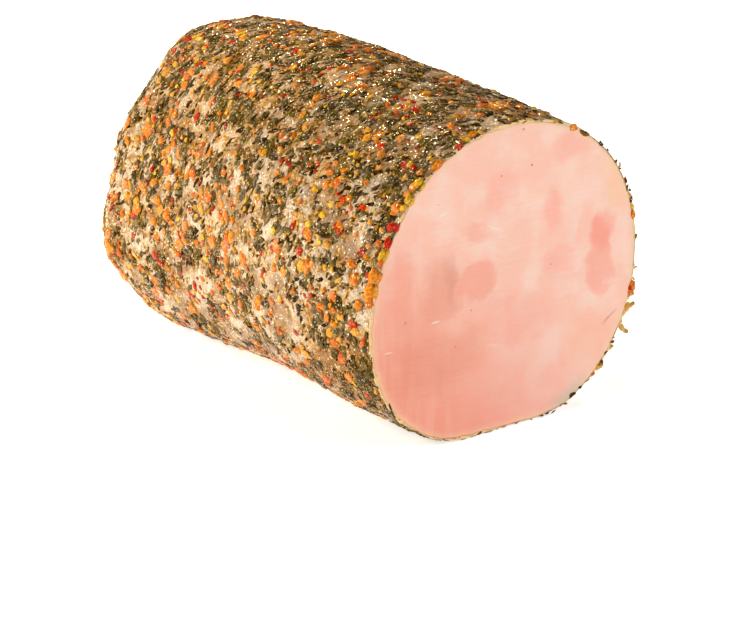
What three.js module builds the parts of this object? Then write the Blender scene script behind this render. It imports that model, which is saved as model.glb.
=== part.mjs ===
// A boned and rolled turkey breast in a coat of herbs and vegetable flakes. It lies on its side: one end has
// been sliced off flat, and the other keeps the rounded, gathered shoulders of the casing that it was cooked in.
// The meat and its coat hold together as one piece, so the roll is one solid.
//
// Frame: millimetres, +Z up. The roll lies along Y with its cut face towards -Y, and the origin is on the
// surface it rests on, under the middle of its bounding box.
import * as THREE from "three";

// Driving dimensions. Distances along the roll are measured from the cut face.
const ROLL_LENGTH = 218.5;
const MEAN_RADIUS = 68;
const BARREL = 0.058; // how much fatter the middle is, as a share of the radius
const TAPER = 0.043; // how much thinner the rounded end is, as a share of the radius
const SIDE_BOW = -2; // how far the middle bends sideways
const SIDE_DRIFT = -1.1; // how far the rounded end lies to the side of the cut one
const END_DEPTH = 32; // length of the rounded end
const END_POWER = 2.3; // 2 would be an ellipse, and more makes squarer shoulders
const SINK = 6; // how far the weight of the meat flattens its underside
const FOOT_BLEND = 3; // half height of the bend between the flat foot and the side

// The section departs from a circle by a few low harmonics, each a share of the mean radius.
const SECTION_HARMONICS = [
  { around: 2, cosine: -0.023, sine: 0.011 },
  { around: 3, cosine: -0.006, sine: -0.025 },
  { around: 4, cosine: -0.009, sine: 0.006 },
];

// Slow swells of the surface, where muscles were pressed together. A swell has `around` crests round the
// section and `along` half waves from end to end.
const SWELLS = [
  { around: 1, along: 1, height: 0.5, phaseDeg: 68 },
  { around: 2, along: 1, height: 2, phaseDeg: 9 },
  { around: 3, along: 1, height: 0.8, phaseDeg: 75 },
  { around: 0, along: 2, height: 0.6, phaseDeg: 93 },
  { around: 1, along: 2, height: 1.1, phaseDeg: 140 },
  { around: 2, along: 2, height: 0.9, phaseDeg: 31 },
  { around: 1, along: 3, height: 0.7, phaseDeg: -18 },
  { around: 2, along: 3, height: 0.6, phaseDeg: 178 },
];

// Pleats that the gathered casing left in the shoulder of the rounded end.
const PLEATS = { count: 8, height: 1.3, phaseDeg: 144, distance: 198, reach: 20 };

// Facets.
const AROUND = 80;
const STEPS_ALONG = 36;
const STEPS_END = 12;

// Distance of the section's edge from the roll's axis, before the ends and swells shape it.
function sectionRadius(angle) {
  let share = 1;
  for (const { around, cosine, sine } of SECTION_HARMONICS) {
    share += cosine * Math.cos(around * angle) + sine * Math.sin(around * angle);
  }
  return MEAN_RADIUS * share;
}

// How far the underside of the round section would reach below the axis.
function reachBelowAxis() {
  let reach = 0;
  for (let i = 0; i < AROUND; i++) {
    const angle = (i / AROUND) * 2 * Math.PI;
    reach = Math.max(reach, -sectionRadius(angle) * Math.sin(angle));
  }
  return reach;
}

const AXIS_HEIGHT = reachBelowAxis() - SINK;

// A parabola that is 1 halfway along the roll and 0 at both ends.
function midHump(share) {
  return 4 * share * (1 - share);
}

// Scale of the section at a share of the length.
function lengthScale(share) {
  return 1 + BARREL * midHump(share) - TAPER * share;
}

function swell(angle, share) {
  let height = 0;
  for (const { around, along, height: crest, phaseDeg } of SWELLS) {
    const turn = around * angle + along * Math.PI * share - THREE.MathUtils.degToRad(phaseDeg);
    height += crest * Math.cos(turn);
  }
  return height;
}

function pleat(angle, distance) {
  const { count, height, phaseDeg, reach } = PLEATS;
  const fade = Math.exp(-(((distance - PLEATS.distance) / reach) ** 2));
  return height * fade * Math.cos(count * angle - THREE.MathUtils.degToRad(phaseDeg));
}

// Lays the meat on its support: what would be lower is flat at height 0, and a parabola joins flat and side.
function settle(height) {
  if (height <= -FOOT_BLEND) return 0;
  if (height >= FOOT_BLEND) return height;
  return (height + FOOT_BLEND) ** 2 / (4 * FOOT_BLEND);
}

// A point of the roll at an angle round its axis, a distance from the cut face, and a share of the way from
// the axis to the surface.
function rollPoint(angle, distance, outward) {
  const share = distance / ROLL_LENGTH;
  const scale = lengthScale(share);
  const radius = outward * (sectionRadius(angle) * scale + swell(angle, share) + pleat(angle, distance));
  const axisX = SIDE_BOW * midHump(share) + SIDE_DRIFT * share;
  return new THREE.Vector3(
    axisX + radius * Math.cos(angle),
    distance,
    settle(AXIS_HEIGHT * scale + radius * Math.sin(angle)),
  );
}

// The half outline that a lathe turns: x is the share of the way out from the axis, and y is the distance from
// the cut face.
function outline() {
  const points = [new THREE.Vector2(0, 0)];
  const straight = ROLL_LENGTH - END_DEPTH;
  for (let i = 0; i <= STEPS_ALONG; i++) {
    points.push(new THREE.Vector2(1, (straight * i) / STEPS_ALONG));
  }
  for (let i = 1; i <= STEPS_END; i++) {
    const depth = Math.sin(((i / STEPS_END) * Math.PI) / 2);
    const out = i === STEPS_END ? 0 : (1 - depth ** END_POWER) ** (1 / END_POWER);
    points.push(new THREE.Vector2(out, straight + END_DEPTH * depth));
  }
  return points;
}

// The lathe's unit roll, with each vertex moved to where the meat's surface is.
function rollGeometry() {
  const geometry = new THREE.LatheGeometry(outline(), AROUND);
  const position = geometry.getAttribute("position");
  for (let i = 0; i < position.count; i++) {
    const [x, distance, z] = [position.getX(i), position.getY(i), position.getZ(i)];
    const point = rollPoint(Math.atan2(z, x), distance, Math.hypot(x, z));
    position.setXYZ(i, point.x, point.y, point.z);
  }
  geometry.computeVertexNormals();
  return geometry;
}

const meatInHerbs = new THREE.MeshStandardMaterial({ color: 0x9a8a63, roughness: 0.38, metalness: 0 });

const roll = new THREE.Mesh(rollGeometry(), meatInHerbs);
roll.name = "turkey_breast";

// The origin goes under the middle of the bounding box.
const middle = new THREE.Box3().setFromObject(roll).getCenter(new THREE.Vector3());
roll.position.set(-middle.x, -middle.y, 0);

const turkeyBreast = new THREE.Group();
turkeyBreast.add(roll);

export default turkeyBreast;
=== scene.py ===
"""Looks of a boned and rolled turkey breast in a coat of jelly, herbs and vegetable flakes.

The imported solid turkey_breast gives the size and the place. What stands for it here is built in layers:
the meat with its flat cut face, the jelly round it, the flakes that lie in the jelly, one mesh for each
kind of flake, and a few shreds of skin at the cut. The roll lies along Y with its cut face towards -Y.
Lengths are in metres, and angles go round the roll's axis, from +X towards +Z.
"""

from __future__ import annotations

import logging
import math
from dataclasses import dataclass, field, replace
from enum import Enum
from typing import Any

import bpy
import numpy as np
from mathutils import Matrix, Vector


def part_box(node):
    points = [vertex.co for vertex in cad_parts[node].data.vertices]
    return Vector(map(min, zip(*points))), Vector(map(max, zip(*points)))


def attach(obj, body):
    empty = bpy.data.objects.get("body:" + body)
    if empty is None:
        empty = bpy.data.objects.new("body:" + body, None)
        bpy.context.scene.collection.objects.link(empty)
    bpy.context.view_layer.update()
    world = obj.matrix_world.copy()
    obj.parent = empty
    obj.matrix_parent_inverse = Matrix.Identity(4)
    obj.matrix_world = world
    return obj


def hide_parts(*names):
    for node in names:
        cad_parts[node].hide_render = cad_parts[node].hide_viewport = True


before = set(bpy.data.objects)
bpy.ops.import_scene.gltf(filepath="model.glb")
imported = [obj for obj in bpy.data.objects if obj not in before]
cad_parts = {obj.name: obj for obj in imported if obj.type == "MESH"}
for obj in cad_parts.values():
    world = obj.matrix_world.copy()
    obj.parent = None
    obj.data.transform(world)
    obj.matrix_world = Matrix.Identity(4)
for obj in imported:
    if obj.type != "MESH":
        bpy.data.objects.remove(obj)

LOG = logging.getLogger("turkey_breast")
MM = 0.001
BODY = "root"
NODE = "turkey_breast"

Colour = tuple[float, float, float, float]
Arrays = tuple[np.ndarray, np.ndarray, np.ndarray]
Layers = tuple[tuple[float, float, int], ...]


def paint(red: float, green: float, blue: float) -> Colour:
    """Turns a screen colour into the linear one that shaders use.

    Each channel c, as a share of 255, becomes ((c + 0.055) / 1.055) ** 2.4, or c / 12.92 if it is dark.

    Args:
        red: Red, from 0 to 255.
        green: Green, from 0 to 255.
        blue: Blue, from 0 to 255.

    Returns:
        The linear colour with an alpha of 1.
    """
    linear = []
    for channel in (red, green, blue):
        share = channel / 255
        linear.append(share / 12.92 if share <= 0.04045 else ((share + 0.055) / 1.055) ** 2.4)
    return (linear[0], linear[1], linear[2], 1.0)


def smooth_step(low: float, high: float, value: np.ndarray) -> np.ndarray:
    """Rises from 0 at low to 1 at high as 3 t^2 - 2 t^3, where t is the share of the way.

    Args:
        low: Value at which the step starts.
        high: Value at which it ends. It may be less than low, and then the step falls.
        value: Where to evaluate it.

    Returns:
        The height of the step, from 0 to 1.
    """
    share = np.clip((value - low) / (high - low), 0.0, 1.0)
    return share * share * (3 - 2 * share)


@dataclass(frozen=True)
class SoftNoise:
    """A smooth random field from -1 to 1, with one random value at each corner of a cubic lattice.

    Between corners the values are blended along each axis with the weight 3 t^2 - 2 t^3.
    """

    cell: float
    seed: int

    def at(self, points: np.ndarray) -> np.ndarray:
        """Evaluates the field.

        Args:
            points: Positions, of shape (..., 3).

        Returns:
            The field's values, of shape (...).
        """
        values = np.random.default_rng(self.seed).uniform(-1, 1, 8192)
        scaled = points / self.cell
        corner = np.floor(scaled).astype(np.int64)
        share = scaled - corner
        weight = share * share * (3 - 2 * share)
        total = np.zeros(points.shape[:-1])
        for step in range(8):
            offset = np.array([step & 1, (step >> 1) & 1, (step >> 2) & 1])
            lattice = corner + offset
            key = lattice[..., 0] * 73856093 ^ lattice[..., 1] * 19349663 ^ lattice[..., 2] * 83492791
            part = np.where(offset == 1, weight, 1 - weight).prod(axis=-1)
            total += part * values[key & 8191]
        return total


def layered(layers: Layers, points: np.ndarray) -> np.ndarray:
    """Sums soft noises.

    Args:
        layers: The cell, the height and the seed of each noise.
        points: Positions, of shape (..., 3).

    Returns:
        The sum, of shape (...).
    """
    height = np.zeros(points.shape[:-1])
    for cell, size, seed in layers:
        height = height + size * SoftNoise(cell, seed).at(points)
    return height


# The roll's shape.


@dataclass(frozen=True)
class Swell:
    """A slow wave of the surface, by its crests round the section and its half waves along the roll."""

    around: int
    along: int
    height: float
    phase_deg: float


@dataclass(frozen=True)
class RollShape:
    """The roll's outer surface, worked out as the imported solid's is.

    A point at an angle, a distance from the cut face and a share `out` of the way from the axis has the
    radius out * (section(angle) * scale(distance) + swells + pleats). The underside is then flattened onto
    height 0.
    """

    length: float = 218.5 * MM
    mean_radius: float = 68 * MM
    barrel: float = 0.058
    taper: float = 0.043
    side_bow: float = -2 * MM
    side_drift: float = -1.1 * MM
    end_depth: float = 32 * MM
    end_power: float = 2.3
    sink: float = 6 * MM
    foot_blend: float = 3 * MM
    harmonics: tuple[tuple[int, float, float], ...] = (
        (2, -0.023, 0.011),
        (3, -0.006, -0.025),
        (4, -0.009, 0.006),
    )
    swells: tuple[Swell, ...] = (
        Swell(1, 1, 0.5 * MM, 68),
        Swell(2, 1, 2.0 * MM, 9),
        Swell(3, 1, 0.8 * MM, 75),
        Swell(0, 2, 0.6 * MM, 93),
        Swell(1, 2, 1.1 * MM, 140),
        Swell(2, 2, 0.9 * MM, 31),
        Swell(1, 3, 0.7 * MM, -18),
        Swell(2, 3, 0.6 * MM, 178),
    )
    pleat_count: int = 8
    pleat_height: float = 1.3 * MM
    pleat_phase_deg: float = 144
    pleat_distance: float = 198 * MM
    pleat_reach: float = 20 * MM
    facets_around: int = 80
    facets_along: int = 36
    shift: tuple[float, float] = (0.0, 0.0)

    @property
    def straight(self) -> float:
        """Length of the roll before its rounded end."""
        return self.length - self.end_depth

    @property
    def run_to_pole(self) -> float:
        """Length of the outline from the cut edge to the tip of the rounded end."""
        return self.straight + float(self._end_outline()[0][-1])

    def section_radius(self, angle: np.ndarray) -> np.ndarray:
        """Radius of the section: mean * (1 + the sum of a cos(n angle) + b sin(n angle))."""
        share = np.ones_like(angle)
        for around, cosine, sine in self.harmonics:
            share = share + cosine * np.cos(around * angle) + sine * np.sin(around * angle)
        return self.mean_radius * share

    def axis_height(self) -> float:
        """Height of the axis at full scale: the section's reach below it, less what the weight flattens."""
        angle = np.arange(self.facets_around) / self.facets_around * 2 * math.pi
        return float(np.max(-self.section_radius(angle) * np.sin(angle))) - self.sink

    def place(self, angle: np.ndarray, distance: np.ndarray, out: np.ndarray) -> np.ndarray:
        """Finds points of the roll.

        Args:
            angle: Angles round the axis, in radians.
            distance: Distances from the cut face.
            out: Shares of the way from the axis to the surface.

        Returns:
            The positions, of shape (..., 3).
        """
        angle, distance, out = np.broadcast_arrays(angle, distance, out)
        share = distance / self.length
        hump = 4 * share * (1 - share)
        scale = 1 + self.barrel * hump - self.taper * share
        height = np.zeros_like(share)
        for swell in self.swells:
            turn = swell.around * angle + swell.along * math.pi * share - math.radians(swell.phase_deg)
            height = height + swell.height * np.cos(turn)
        fade = np.exp(-(((distance - self.pleat_distance) / self.pleat_reach) ** 2))
        pleat_turn = self.pleat_count * angle - math.radians(self.pleat_phase_deg)
        height = height + self.pleat_height * fade * np.cos(pleat_turn)
        radius = out * (self.section_radius(angle) * scale + height)
        x = self.side_bow * hump + self.side_drift * share + radius * np.cos(angle)
        z = self.axis_height() * scale + radius * np.sin(angle)
        blend = self.foot_blend
        settled = np.where(z >= blend, z, np.where(z <= -blend, 0.0, (z + blend) ** 2 / (4 * blend)))
        return np.stack([x + self.shift[0], distance + self.shift[1], settled], axis=-1)

    def surface(self, angle: np.ndarray, run: np.ndarray) -> np.ndarray:
        """Finds points of the outer surface.

        Args:
            angle: Angles round the axis.
            run: Lengths along the outline from the cut edge, up to run_to_pole.

        Returns:
            The positions, of shape (..., 3).
        """
        lengths, outs, depths = self._end_outline()
        past = np.clip(run - self.straight, 0, lengths[-1])
        out = np.interp(past, lengths, outs)
        distance = np.minimum(run, self.straight) + np.interp(past, lengths, depths)
        return self.place(angle, distance, out)

    def share_out(self, run: np.ndarray) -> np.ndarray:
        """How far out from the axis the outline is at a length along it, as a share of the radius."""
        lengths, outs, _ = self._end_outline()
        return np.interp(np.clip(run - self.straight, 0, lengths[-1]), lengths, outs)

    def directions(self, angle: np.ndarray, run: np.ndarray) -> Arrays:
        """Finds the surface's own directions from small steps on it.

        Args:
            angle: Angles round the axis.
            run: Lengths along the outline from the cut edge.

        Returns:
            Unit vectors along the roll, round it, and outwards.
        """
        step = 0.5 * MM
        turn = step / (self.mean_radius * np.maximum(self.share_out(run), 0.02))
        run_in = np.clip(run, step, self.run_to_pole - 2 * step)
        along = self.surface(angle, run_in + step) - self.surface(angle, run_in - step)
        around = self.surface(angle + turn, run_in) - self.surface(angle - turn, run_in)
        along /= np.linalg.norm(along, axis=-1, keepdims=True)
        outward = np.cross(along, around)
        outward /= np.linalg.norm(outward, axis=-1, keepdims=True)
        return along, np.cross(outward, along), outward

    def seated(self, low: np.ndarray, high: np.ndarray) -> RollShape:
        """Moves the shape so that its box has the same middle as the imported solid's.

        Args:
            low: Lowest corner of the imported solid.
            high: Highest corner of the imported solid.

        Returns:
            The same shape with its shift set.
        """
        angle = np.arange(self.facets_around)[:, None] / self.facets_around * 2 * math.pi
        run = np.linspace(0, self.straight, self.facets_along + 1)[None, :]
        x = self.surface(angle, run)[..., 0]
        middle = (float(x.min()) + float(x.max())) / 2
        return replace(self, shift=((low[0] + high[0]) / 2 - middle, float(low[1])))

    def _end_outline(self) -> Arrays:
        """Outline of the rounded end: out = cos(t) ** (2 / power) and depth = sin(t) ** (2 / power).

        Returns:
            Lengths along it, shares out from the axis, and depths past the straight part.
        """
        turn = np.linspace(0, math.pi / 2, 400)
        out = np.clip(np.cos(turn), 0, 1) ** (2 / self.end_power)
        out[-1] = 0.0
        depth = self.end_depth * np.sin(turn) ** (2 / self.end_power)
        steps = np.hypot(np.diff(out * self.mean_radius), np.diff(depth))
        return np.concatenate([[0.0], np.cumsum(steps)]), out, depth


@dataclass(frozen=True)
class CoatWall:
    """How thick the jelly is, how its skin rises and falls, and where the coat differs.

    Each pair of the fields that are named for a place is where a soft step starts and where it ends.
    """

    shape: RollShape
    thickness: float = 0.95 * MM
    thickness_swing: float = 0.6 * MM
    thinnest: float = 0.5 * MM
    right_thickness: float = 0.4 * MM
    lip_height: float = 0.12 * MM
    lip_swing: float = 0.45 * MM
    right_thinning: float = 0.8
    coarse: SoftNoise = SoftNoise(7 * MM, 21)
    fine: SoftNoise = SoftNoise(2.3 * MM, 22)
    coarse_share: float = 0.65
    fine_share: float = 0.45
    lumps: Layers = ((9 * MM, 0.5 * MM, 11), (4.2 * MM, 0.34 * MM, 12), (2.2 * MM, 0.14 * MM, 13))
    islands: Layers = ((10 * MM, 1.0, 51), (4.5 * MM, 0.5, 52))
    fewer_high: float = 0.25
    fewer_low: float = 0.4
    bare_right: float = 0.9
    amber_high: float = 0.28
    # Painted shadow: how much darker and more amber the jelly is low beside the cut.
    painted_shade_by_cut: float = 0.9
    island_level: tuple[float, float] = (0.12, 0.62)
    rare_islands: tuple[float, float] = (90 * MM, 130 * MM)
    amber_top: tuple[float, float] = (88 * MM, 122 * MM)
    low_height: tuple[float, float] = (62 * MM, 40 * MM)
    low_side: tuple[float, float] = (0.0, -20 * MM)
    low_from_cut: tuple[float, float] = (60 * MM, 25 * MM)
    right_side: tuple[float, float] = (22 * MM, 38 * MM)
    right_from_cut: tuple[float, float] = (26 * MM, 12 * MM)
    lip_side: tuple[float, float] = (25 * MM, 0.0)
    lip_from_cut: tuple[float, float] = (8 * MM, 1 * MM)

    def relief(self, points: np.ndarray) -> np.ndarray:
        """Height of the skin over the plain surface: the sum of three soft noises of falling size."""
        return layered(self.lumps, points)

    def from_cut(self, points: np.ndarray) -> np.ndarray:
        """Distances of points from the cut face."""
        return points[..., 1] - self.shape.shift[1]

    def bareness(self, points: np.ndarray) -> np.ndarray:
        """How bare of herbs the jelly is, from 0 to 1: soft islands, fewer high up and low by the cut."""
        fewer = self.fewer_high * smooth_step(*self.rare_islands, points[..., 2])
        fewer = fewer + self.fewer_low * self.cut_low(points)
        islands = smooth_step(*self.island_level, layered(self.islands, points) - fewer)
        return np.maximum(islands, self.bare_right * self.cut_right(points))

    def amber_and_shade(self, points: np.ndarray) -> np.ndarray:
        """How dark and amber the jelly is, from 0 to 1: it rises high up, and low beside the cut as painted
        shadow.
        """
        high = self.amber_high * smooth_step(*self.amber_top, points[..., 2])
        # Painted shadow low beside the cut.
        low = self.painted_shade_by_cut * self.cut_low(points)
        return np.maximum(high, low) * (1 - self.cut_right(points))

    def cut_low(self, points: np.ndarray) -> np.ndarray:
        """How near points are to the lower left of the cut, where the herbs lie thick, from 0 to 1."""
        low = smooth_step(*self.low_height, points[..., 2]) * smooth_step(*self.low_side, points[..., 0])
        return low * smooth_step(*self.low_from_cut, self.from_cut(points))

    def cut_right(self, points: np.ndarray) -> np.ndarray:
        """How near points are to the right of the cut, where the coat is thin and bare, from 0 to 1."""
        near = smooth_step(*self.right_from_cut, self.from_cut(points))
        return near * smooth_step(*self.right_side, points[..., 0])

    def thickness_at(self, points: np.ndarray) -> np.ndarray:
        """Thickness of the jelly under points of the surface.

        It is the mean plus two soft noises, but never under the thinnest. It is thicker at the left of the
        cut, where it makes a lip, and thinner at the right.
        """
        fine = self.fine.at(points)
        mixed = self.coarse_share * self.coarse.at(points) + self.fine_share * fine
        full = np.maximum(self.thickness + self.thickness_swing * mixed, self.thinnest)
        lip = smooth_step(*self.lip_from_cut, self.from_cut(points))
        lip = lip * smooth_step(*self.lip_side, points[..., 0])
        full = full + (self.lip_height + self.lip_swing * fine) * lip
        return full - (full - self.right_thickness) * self.right_thinning * self.cut_right(points)


# Meshes.


def pressed(height: np.ndarray, soft: float) -> np.ndarray:
    """Presses what reaches under the floor flat onto it.

    A height z that is under `soft` becomes soft * e ** (z / soft - 1).

    Args:
        height: Heights over the floor.
        soft: Height under which they are pressed.

    Returns:
        Heights that are all above 0 and keep their order.
    """
    return np.where(height < soft, soft * np.exp(np.minimum(height, soft) / soft - 1), height)


def ring_faces(rings: int, around: int) -> np.ndarray:
    """Triangles between closed rings of points, each ring joined to the next.

    Args:
        rings: Number of rings.
        around: Number of points on each ring.

    Returns:
        Vertex numbers, of shape (2 * (rings - 1) * around, 3). Ring r has points r * around and up.
    """
    row = np.arange(rings - 1)[:, None] * around
    here = np.arange(around)[None, :]
    after = (here + 1) % around
    a, b, c, d = row + here, row + after, row + around + after, row + around + here
    first = np.stack([a, b, c], axis=-1).reshape(-1, 3)
    second = np.stack([a, c, d], axis=-1).reshape(-1, 3)
    return np.concatenate([first, second])


def fan_faces(tip: int, first: int, around: int, forward: bool) -> np.ndarray:
    """Triangles from a tip to a ring of points.

    Args:
        tip: Number of the tip's vertex.
        first: Number of the ring's first vertex.
        around: Number of points on the ring.
        forward: Whether a triangle runs tip, point, next point, or the other way round.

    Returns:
        Vertex numbers, of shape (around, 3).
    """
    here = np.arange(around)
    points, following = first + here, first + (here + 1) % around
    tips = np.full(around, tip)
    order = [tips, points, following] if forward else [tips, following, points]
    return np.stack(order, axis=-1)


def make_piece(
    name: str,
    vertices: np.ndarray,
    faces: np.ndarray,
    material: bpy.types.Material,
    tint: np.ndarray | None = None,
) -> bpy.types.Object:
    """Makes a smooth mesh object at the origin and hands it to the frame.

    Args:
        name: Name of the piece.
        vertices: Positions, of shape (n, 3).
        faces: Triangles, of shape (m, 3).
        material: Its finish.
        tint: Optional values of the vertices' `tint` colour, of shape (n, 4).

    Returns:
        The object.
    """
    mesh = bpy.data.meshes.new(name)
    mesh.vertices.add(len(vertices))
    mesh.vertices.foreach_set("co", np.ascontiguousarray(vertices, dtype=np.float32).ravel())
    mesh.loops.add(len(faces) * 3)
    mesh.loops.foreach_set("vertex_index", np.ascontiguousarray(faces, dtype=np.int32).ravel())
    mesh.polygons.add(len(faces))
    mesh.polygons.foreach_set("loop_start", np.arange(0, len(faces) * 3, 3, dtype=np.int32))
    mesh.polygons.foreach_set("use_smooth", np.ones(len(faces), dtype=bool))
    mesh.update(calc_edges=True)
    if tint is not None:
        layer = mesh.color_attributes.new("tint", "FLOAT_COLOR", "POINT")
        layer.data.foreach_set("color", np.ascontiguousarray(tint, dtype=np.float32).ravel())
    mesh.materials.append(material)
    piece = bpy.data.objects.new(name, mesh)
    bpy.context.collection.objects.link(piece)
    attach(piece, BODY)
    LOG.info("%s: %d triangles", name, len(faces))
    return piece


# Shaders.


class Value:
    """A number from a shader socket. Python's operators on it add the Math nodes that work them out."""

    def __init__(self, graph: Graph, socket: bpy.types.NodeSocket) -> None:
        """Wraps a socket of a graph."""
        self.graph = graph
        self.socket = socket

    def _math(self, operation: str, first: Value | float, second: Value | float) -> Value:
        """Adds one Math node for two operands."""
        node = self.graph.node("ShaderNodeMath", {"operation": operation}, {0: first, 1: second})
        return Value(self.graph, node.outputs[0])

    def __add__(self, other: Value | float) -> Value:
        """Sum."""
        return self._math("ADD", self, other)

    __radd__ = __add__

    def __sub__(self, other: Value | float) -> Value:
        """Difference."""
        return self._math("SUBTRACT", self, other)

    def __rsub__(self, other: Value | float) -> Value:
        """Difference, with this value taken from the other."""
        return self._math("SUBTRACT", other, self)

    def __mul__(self, other: Value | float) -> Value:
        """Product."""
        return self._math("MULTIPLY", self, other)

    __rmul__ = __mul__

    def above(self, other: Value | float) -> Value:
        """The larger of the two."""
        return self._math("MAXIMUM", self, other)

    def step(self, low: float, high: float) -> Value:
        """Rises smoothly from 0 where this value is low to 1 where it is high.

        Args:
            low: Value at which the step starts.
            high: Value at which it ends. It may be less than low, and then the step falls.

        Returns:
            The step, from 0 to 1.
        """
        turned = low > high
        limits = (high, low) if turned else (low, high)
        node = self.graph.node(
            "ShaderNodeMapRange",
            {"interpolation_type": "SMOOTHSTEP"},
            {"Value": self, "From Min": limits[0], "From Max": limits[1]},
        )
        rising = Value(self.graph, node.outputs[0])
        return 1 - rising if turned else rising


@dataclass(frozen=True)
class Wetness:
    """How a finish takes the light. Each value is the same all over the surface."""

    roughness: float = 0.42
    index: float = 1.45
    film: float = 0.0
    film_roughness: float = 0.12
    depth: float = 0.0
    depth_scale: float = 1.5 * MM


LEAF_WET = Wetness(roughness=0.1, index=1.15)
BIT_WET = Wetness(roughness=0.1, index=1.22, depth=0.08, depth_scale=0.7 * MM)


class Graph:
    """The node tree of one material, with the few kinds of step that the finishes share."""

    def __init__(self, name: str) -> None:
        """Starts an empty material."""
        self.material = bpy.data.materials.new(name)
        self.material.use_nodes = True
        self.tree = self.material.node_tree
        self.tree.nodes.clear()
        coordinates = self.node("ShaderNodeTexCoord", {}, {})
        self.place = coordinates.outputs["Object"]

    def node(self, kind: str, settings: dict[str, Any], inputs: dict[str | int, Any]) -> bpy.types.Node:
        """Adds any node.

        Args:
            kind: The node's type.
            settings: Its properties, set first. `stops` are the positions and colours of a ramp.
            inputs: Values or links of its sockets, by name or number.

        Returns:
            The node.
        """
        made = self.tree.nodes.new(kind)
        for key, setting in settings.items():
            if key == "stops":
                ramp = made.color_ramp
                while len(ramp.elements) < len(setting):
                    ramp.elements.new(0.5)
                for element, (position, colour) in zip(ramp.elements, setting):
                    element.position = position
                    element.color = colour
            elif key == "interpolation" and kind == "ShaderNodeValToRGB":
                made.color_ramp.interpolation = setting
            else:
                setattr(made, key, setting)
        for key, given in inputs.items():
            source = given.socket if isinstance(given, Value) else given
            if isinstance(source, bpy.types.NodeSocket):
                self.tree.links.new(source, made.inputs[key])
            else:
                made.inputs[key].default_value = source
        return made

    def tint(self) -> tuple[Value, Value, Value, Value]:
        """The red, green, blue and alpha of the mesh's `tint` colour."""
        tint = self.node("ShaderNodeAttribute", {"attribute_name": "tint"}, {})
        split = self.node("ShaderNodeSeparateColor", {}, {0: tint.outputs["Color"]})
        red, green, blue = (Value(self, split.outputs[i]) for i in range(3))
        return red, green, blue, Value(self, tint.outputs["Alpha"])

    def axes(self) -> tuple[Value, Value, Value]:
        """The x, y and z of the Object coordinates."""
        split = self.node("ShaderNodeSeparateXYZ", {}, {0: self.place})
        x, y, z = (Value(self, split.outputs[i]) for i in range(3))
        return x, y, z

    def stretched(self, x: float, y: float, z: float) -> bpy.types.NodeSocket:
        """Object coordinates times a factor along each axis."""
        node = self.node(
            "ShaderNodeVectorMath", {"operation": "MULTIPLY"}, {0: self.place, 1: (x, y, z)}
        )
        return node.outputs[0]

    def noise(
        self,
        cell: float,
        detail: float = 2.0,
        warp: float = 0.0,
        place: bpy.types.NodeSocket | None = None,
    ) -> Value:
        """Fractal noise from 0 to 1.

        Args:
            cell: Size of its largest features.
            detail: Number of finer octaves.
            warp: How far it is distorted by itself.
            place: Coordinates, if not the plain Object ones.

        Returns:
            The noise.
        """
        node = self.node(
            "ShaderNodeTexNoise",
            {"noise_dimensions": "3D"},
            {"Vector": place or self.place, "Scale": 1 / cell, "Detail": detail, "Distortion": warp},
        )
        return Value(self, node.outputs["Fac"])

    def cells(
        self, cell: float, place: bpy.types.NodeSocket | None = None
    ) -> tuple[Value, Value, Value]:
        """Random cells.

        Args:
            cell: Size of a cell.
            place: Coordinates, if not the plain Object ones.

        Returns:
            The distance from each cell's middle, as a share of the cell's size, and its two random numbers.
        """
        node = self.node(
            "ShaderNodeTexVoronoi", {"feature": "F1"}, {"Vector": place or self.place, "Scale": 1 / cell}
        )
        split = self.node("ShaderNodeSeparateColor", {}, {0: node.outputs["Color"]})
        return (
            Value(self, node.outputs["Distance"]),
            Value(self, split.outputs[0]),
            Value(self, split.outputs[1]),
        )

    def ramp(self, value: Value, stops: tuple[tuple[float, Colour], ...], hard: bool = False) -> Any:
        """Turns a value into a colour.

        Args:
            value: What picks the colour.
            stops: Positions and their colours.
            hard: Whether a colour holds until the next stop, and isn't blended with it.

        Returns:
            The colour's socket.
        """
        settings = {"interpolation": "CONSTANT" if hard else "LINEAR", "stops": stops}
        return self.node("ShaderNodeValToRGB", settings, {0: value}).outputs[0]

    def blend(self, share: Value | float, first: Any, second: Any) -> Any:
        """Mixes two colours, the second by a share from 0 to 1, and returns the colour's socket."""
        node = self.node(
            "ShaderNodeMix", {"data_type": "RGBA", "clamp_factor": True}, {0: share, 6: first, 7: second}
        )
        return node.outputs[2]

    def milky_sheen_patches(self, paleness: Value) -> Value:
        """Soft patches of milky jelly and painted sheen, from 0 to 1. The flakes in it share them.

        Args:
            paleness: How pale the jelly is there, from 0 to 1. The patches fade where it isn't.

        Returns:
            How milky it is, with its painted sheen.
        """
        return self.noise(5 * MM, 3, 0.4).step(0.44, 0.60) * paleness

    def facets(self, cell: float, slope: float) -> Value:
        """Heights of small flat facets, each tilted by chance: slope * (place - middle) . (random - 0.5).

        Args:
            cell: Size of a facet.
            slope: How steep the steepest ones are, twice over.

        Returns:
            The height over each facet's middle, in metres.
        """
        kind, minus = "ShaderNodeVectorMath", {"operation": "SUBTRACT"}
        cells = {"Vector": self.place, "Scale": 1 / cell}
        node = self.node("ShaderNodeTexVoronoi", {"feature": "F1"}, cells)
        reach = self.node(kind, minus, {0: self.place, 1: node.outputs["Position"]})
        tilt = self.node(kind, minus, {0: node.outputs["Color"], 1: (0.5, 0.5, 0.5)})
        height = self.node(kind, {"operation": "DOT_PRODUCT"}, {0: reach.outputs[0], 1: tilt.outputs[0]})
        return Value(self, height.outputs["Value"]) * slope

    def bump(self, height: Value, depth: float, under: Any = None) -> Any:
        """Tilts the normal by a height.

        Args:
            height: The height, from 0 to 1.
            depth: What a height of 1 measures.
            under: The normal of a coarser bump, if any.

        Returns:
            The normal's socket.
        """
        inputs = {"Strength": 1.0, "Distance": depth, "Height": height}
        if under is not None:
            inputs["Normal"] = under
        return self.node("ShaderNodeBump", {}, inputs).outputs[0]

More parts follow.
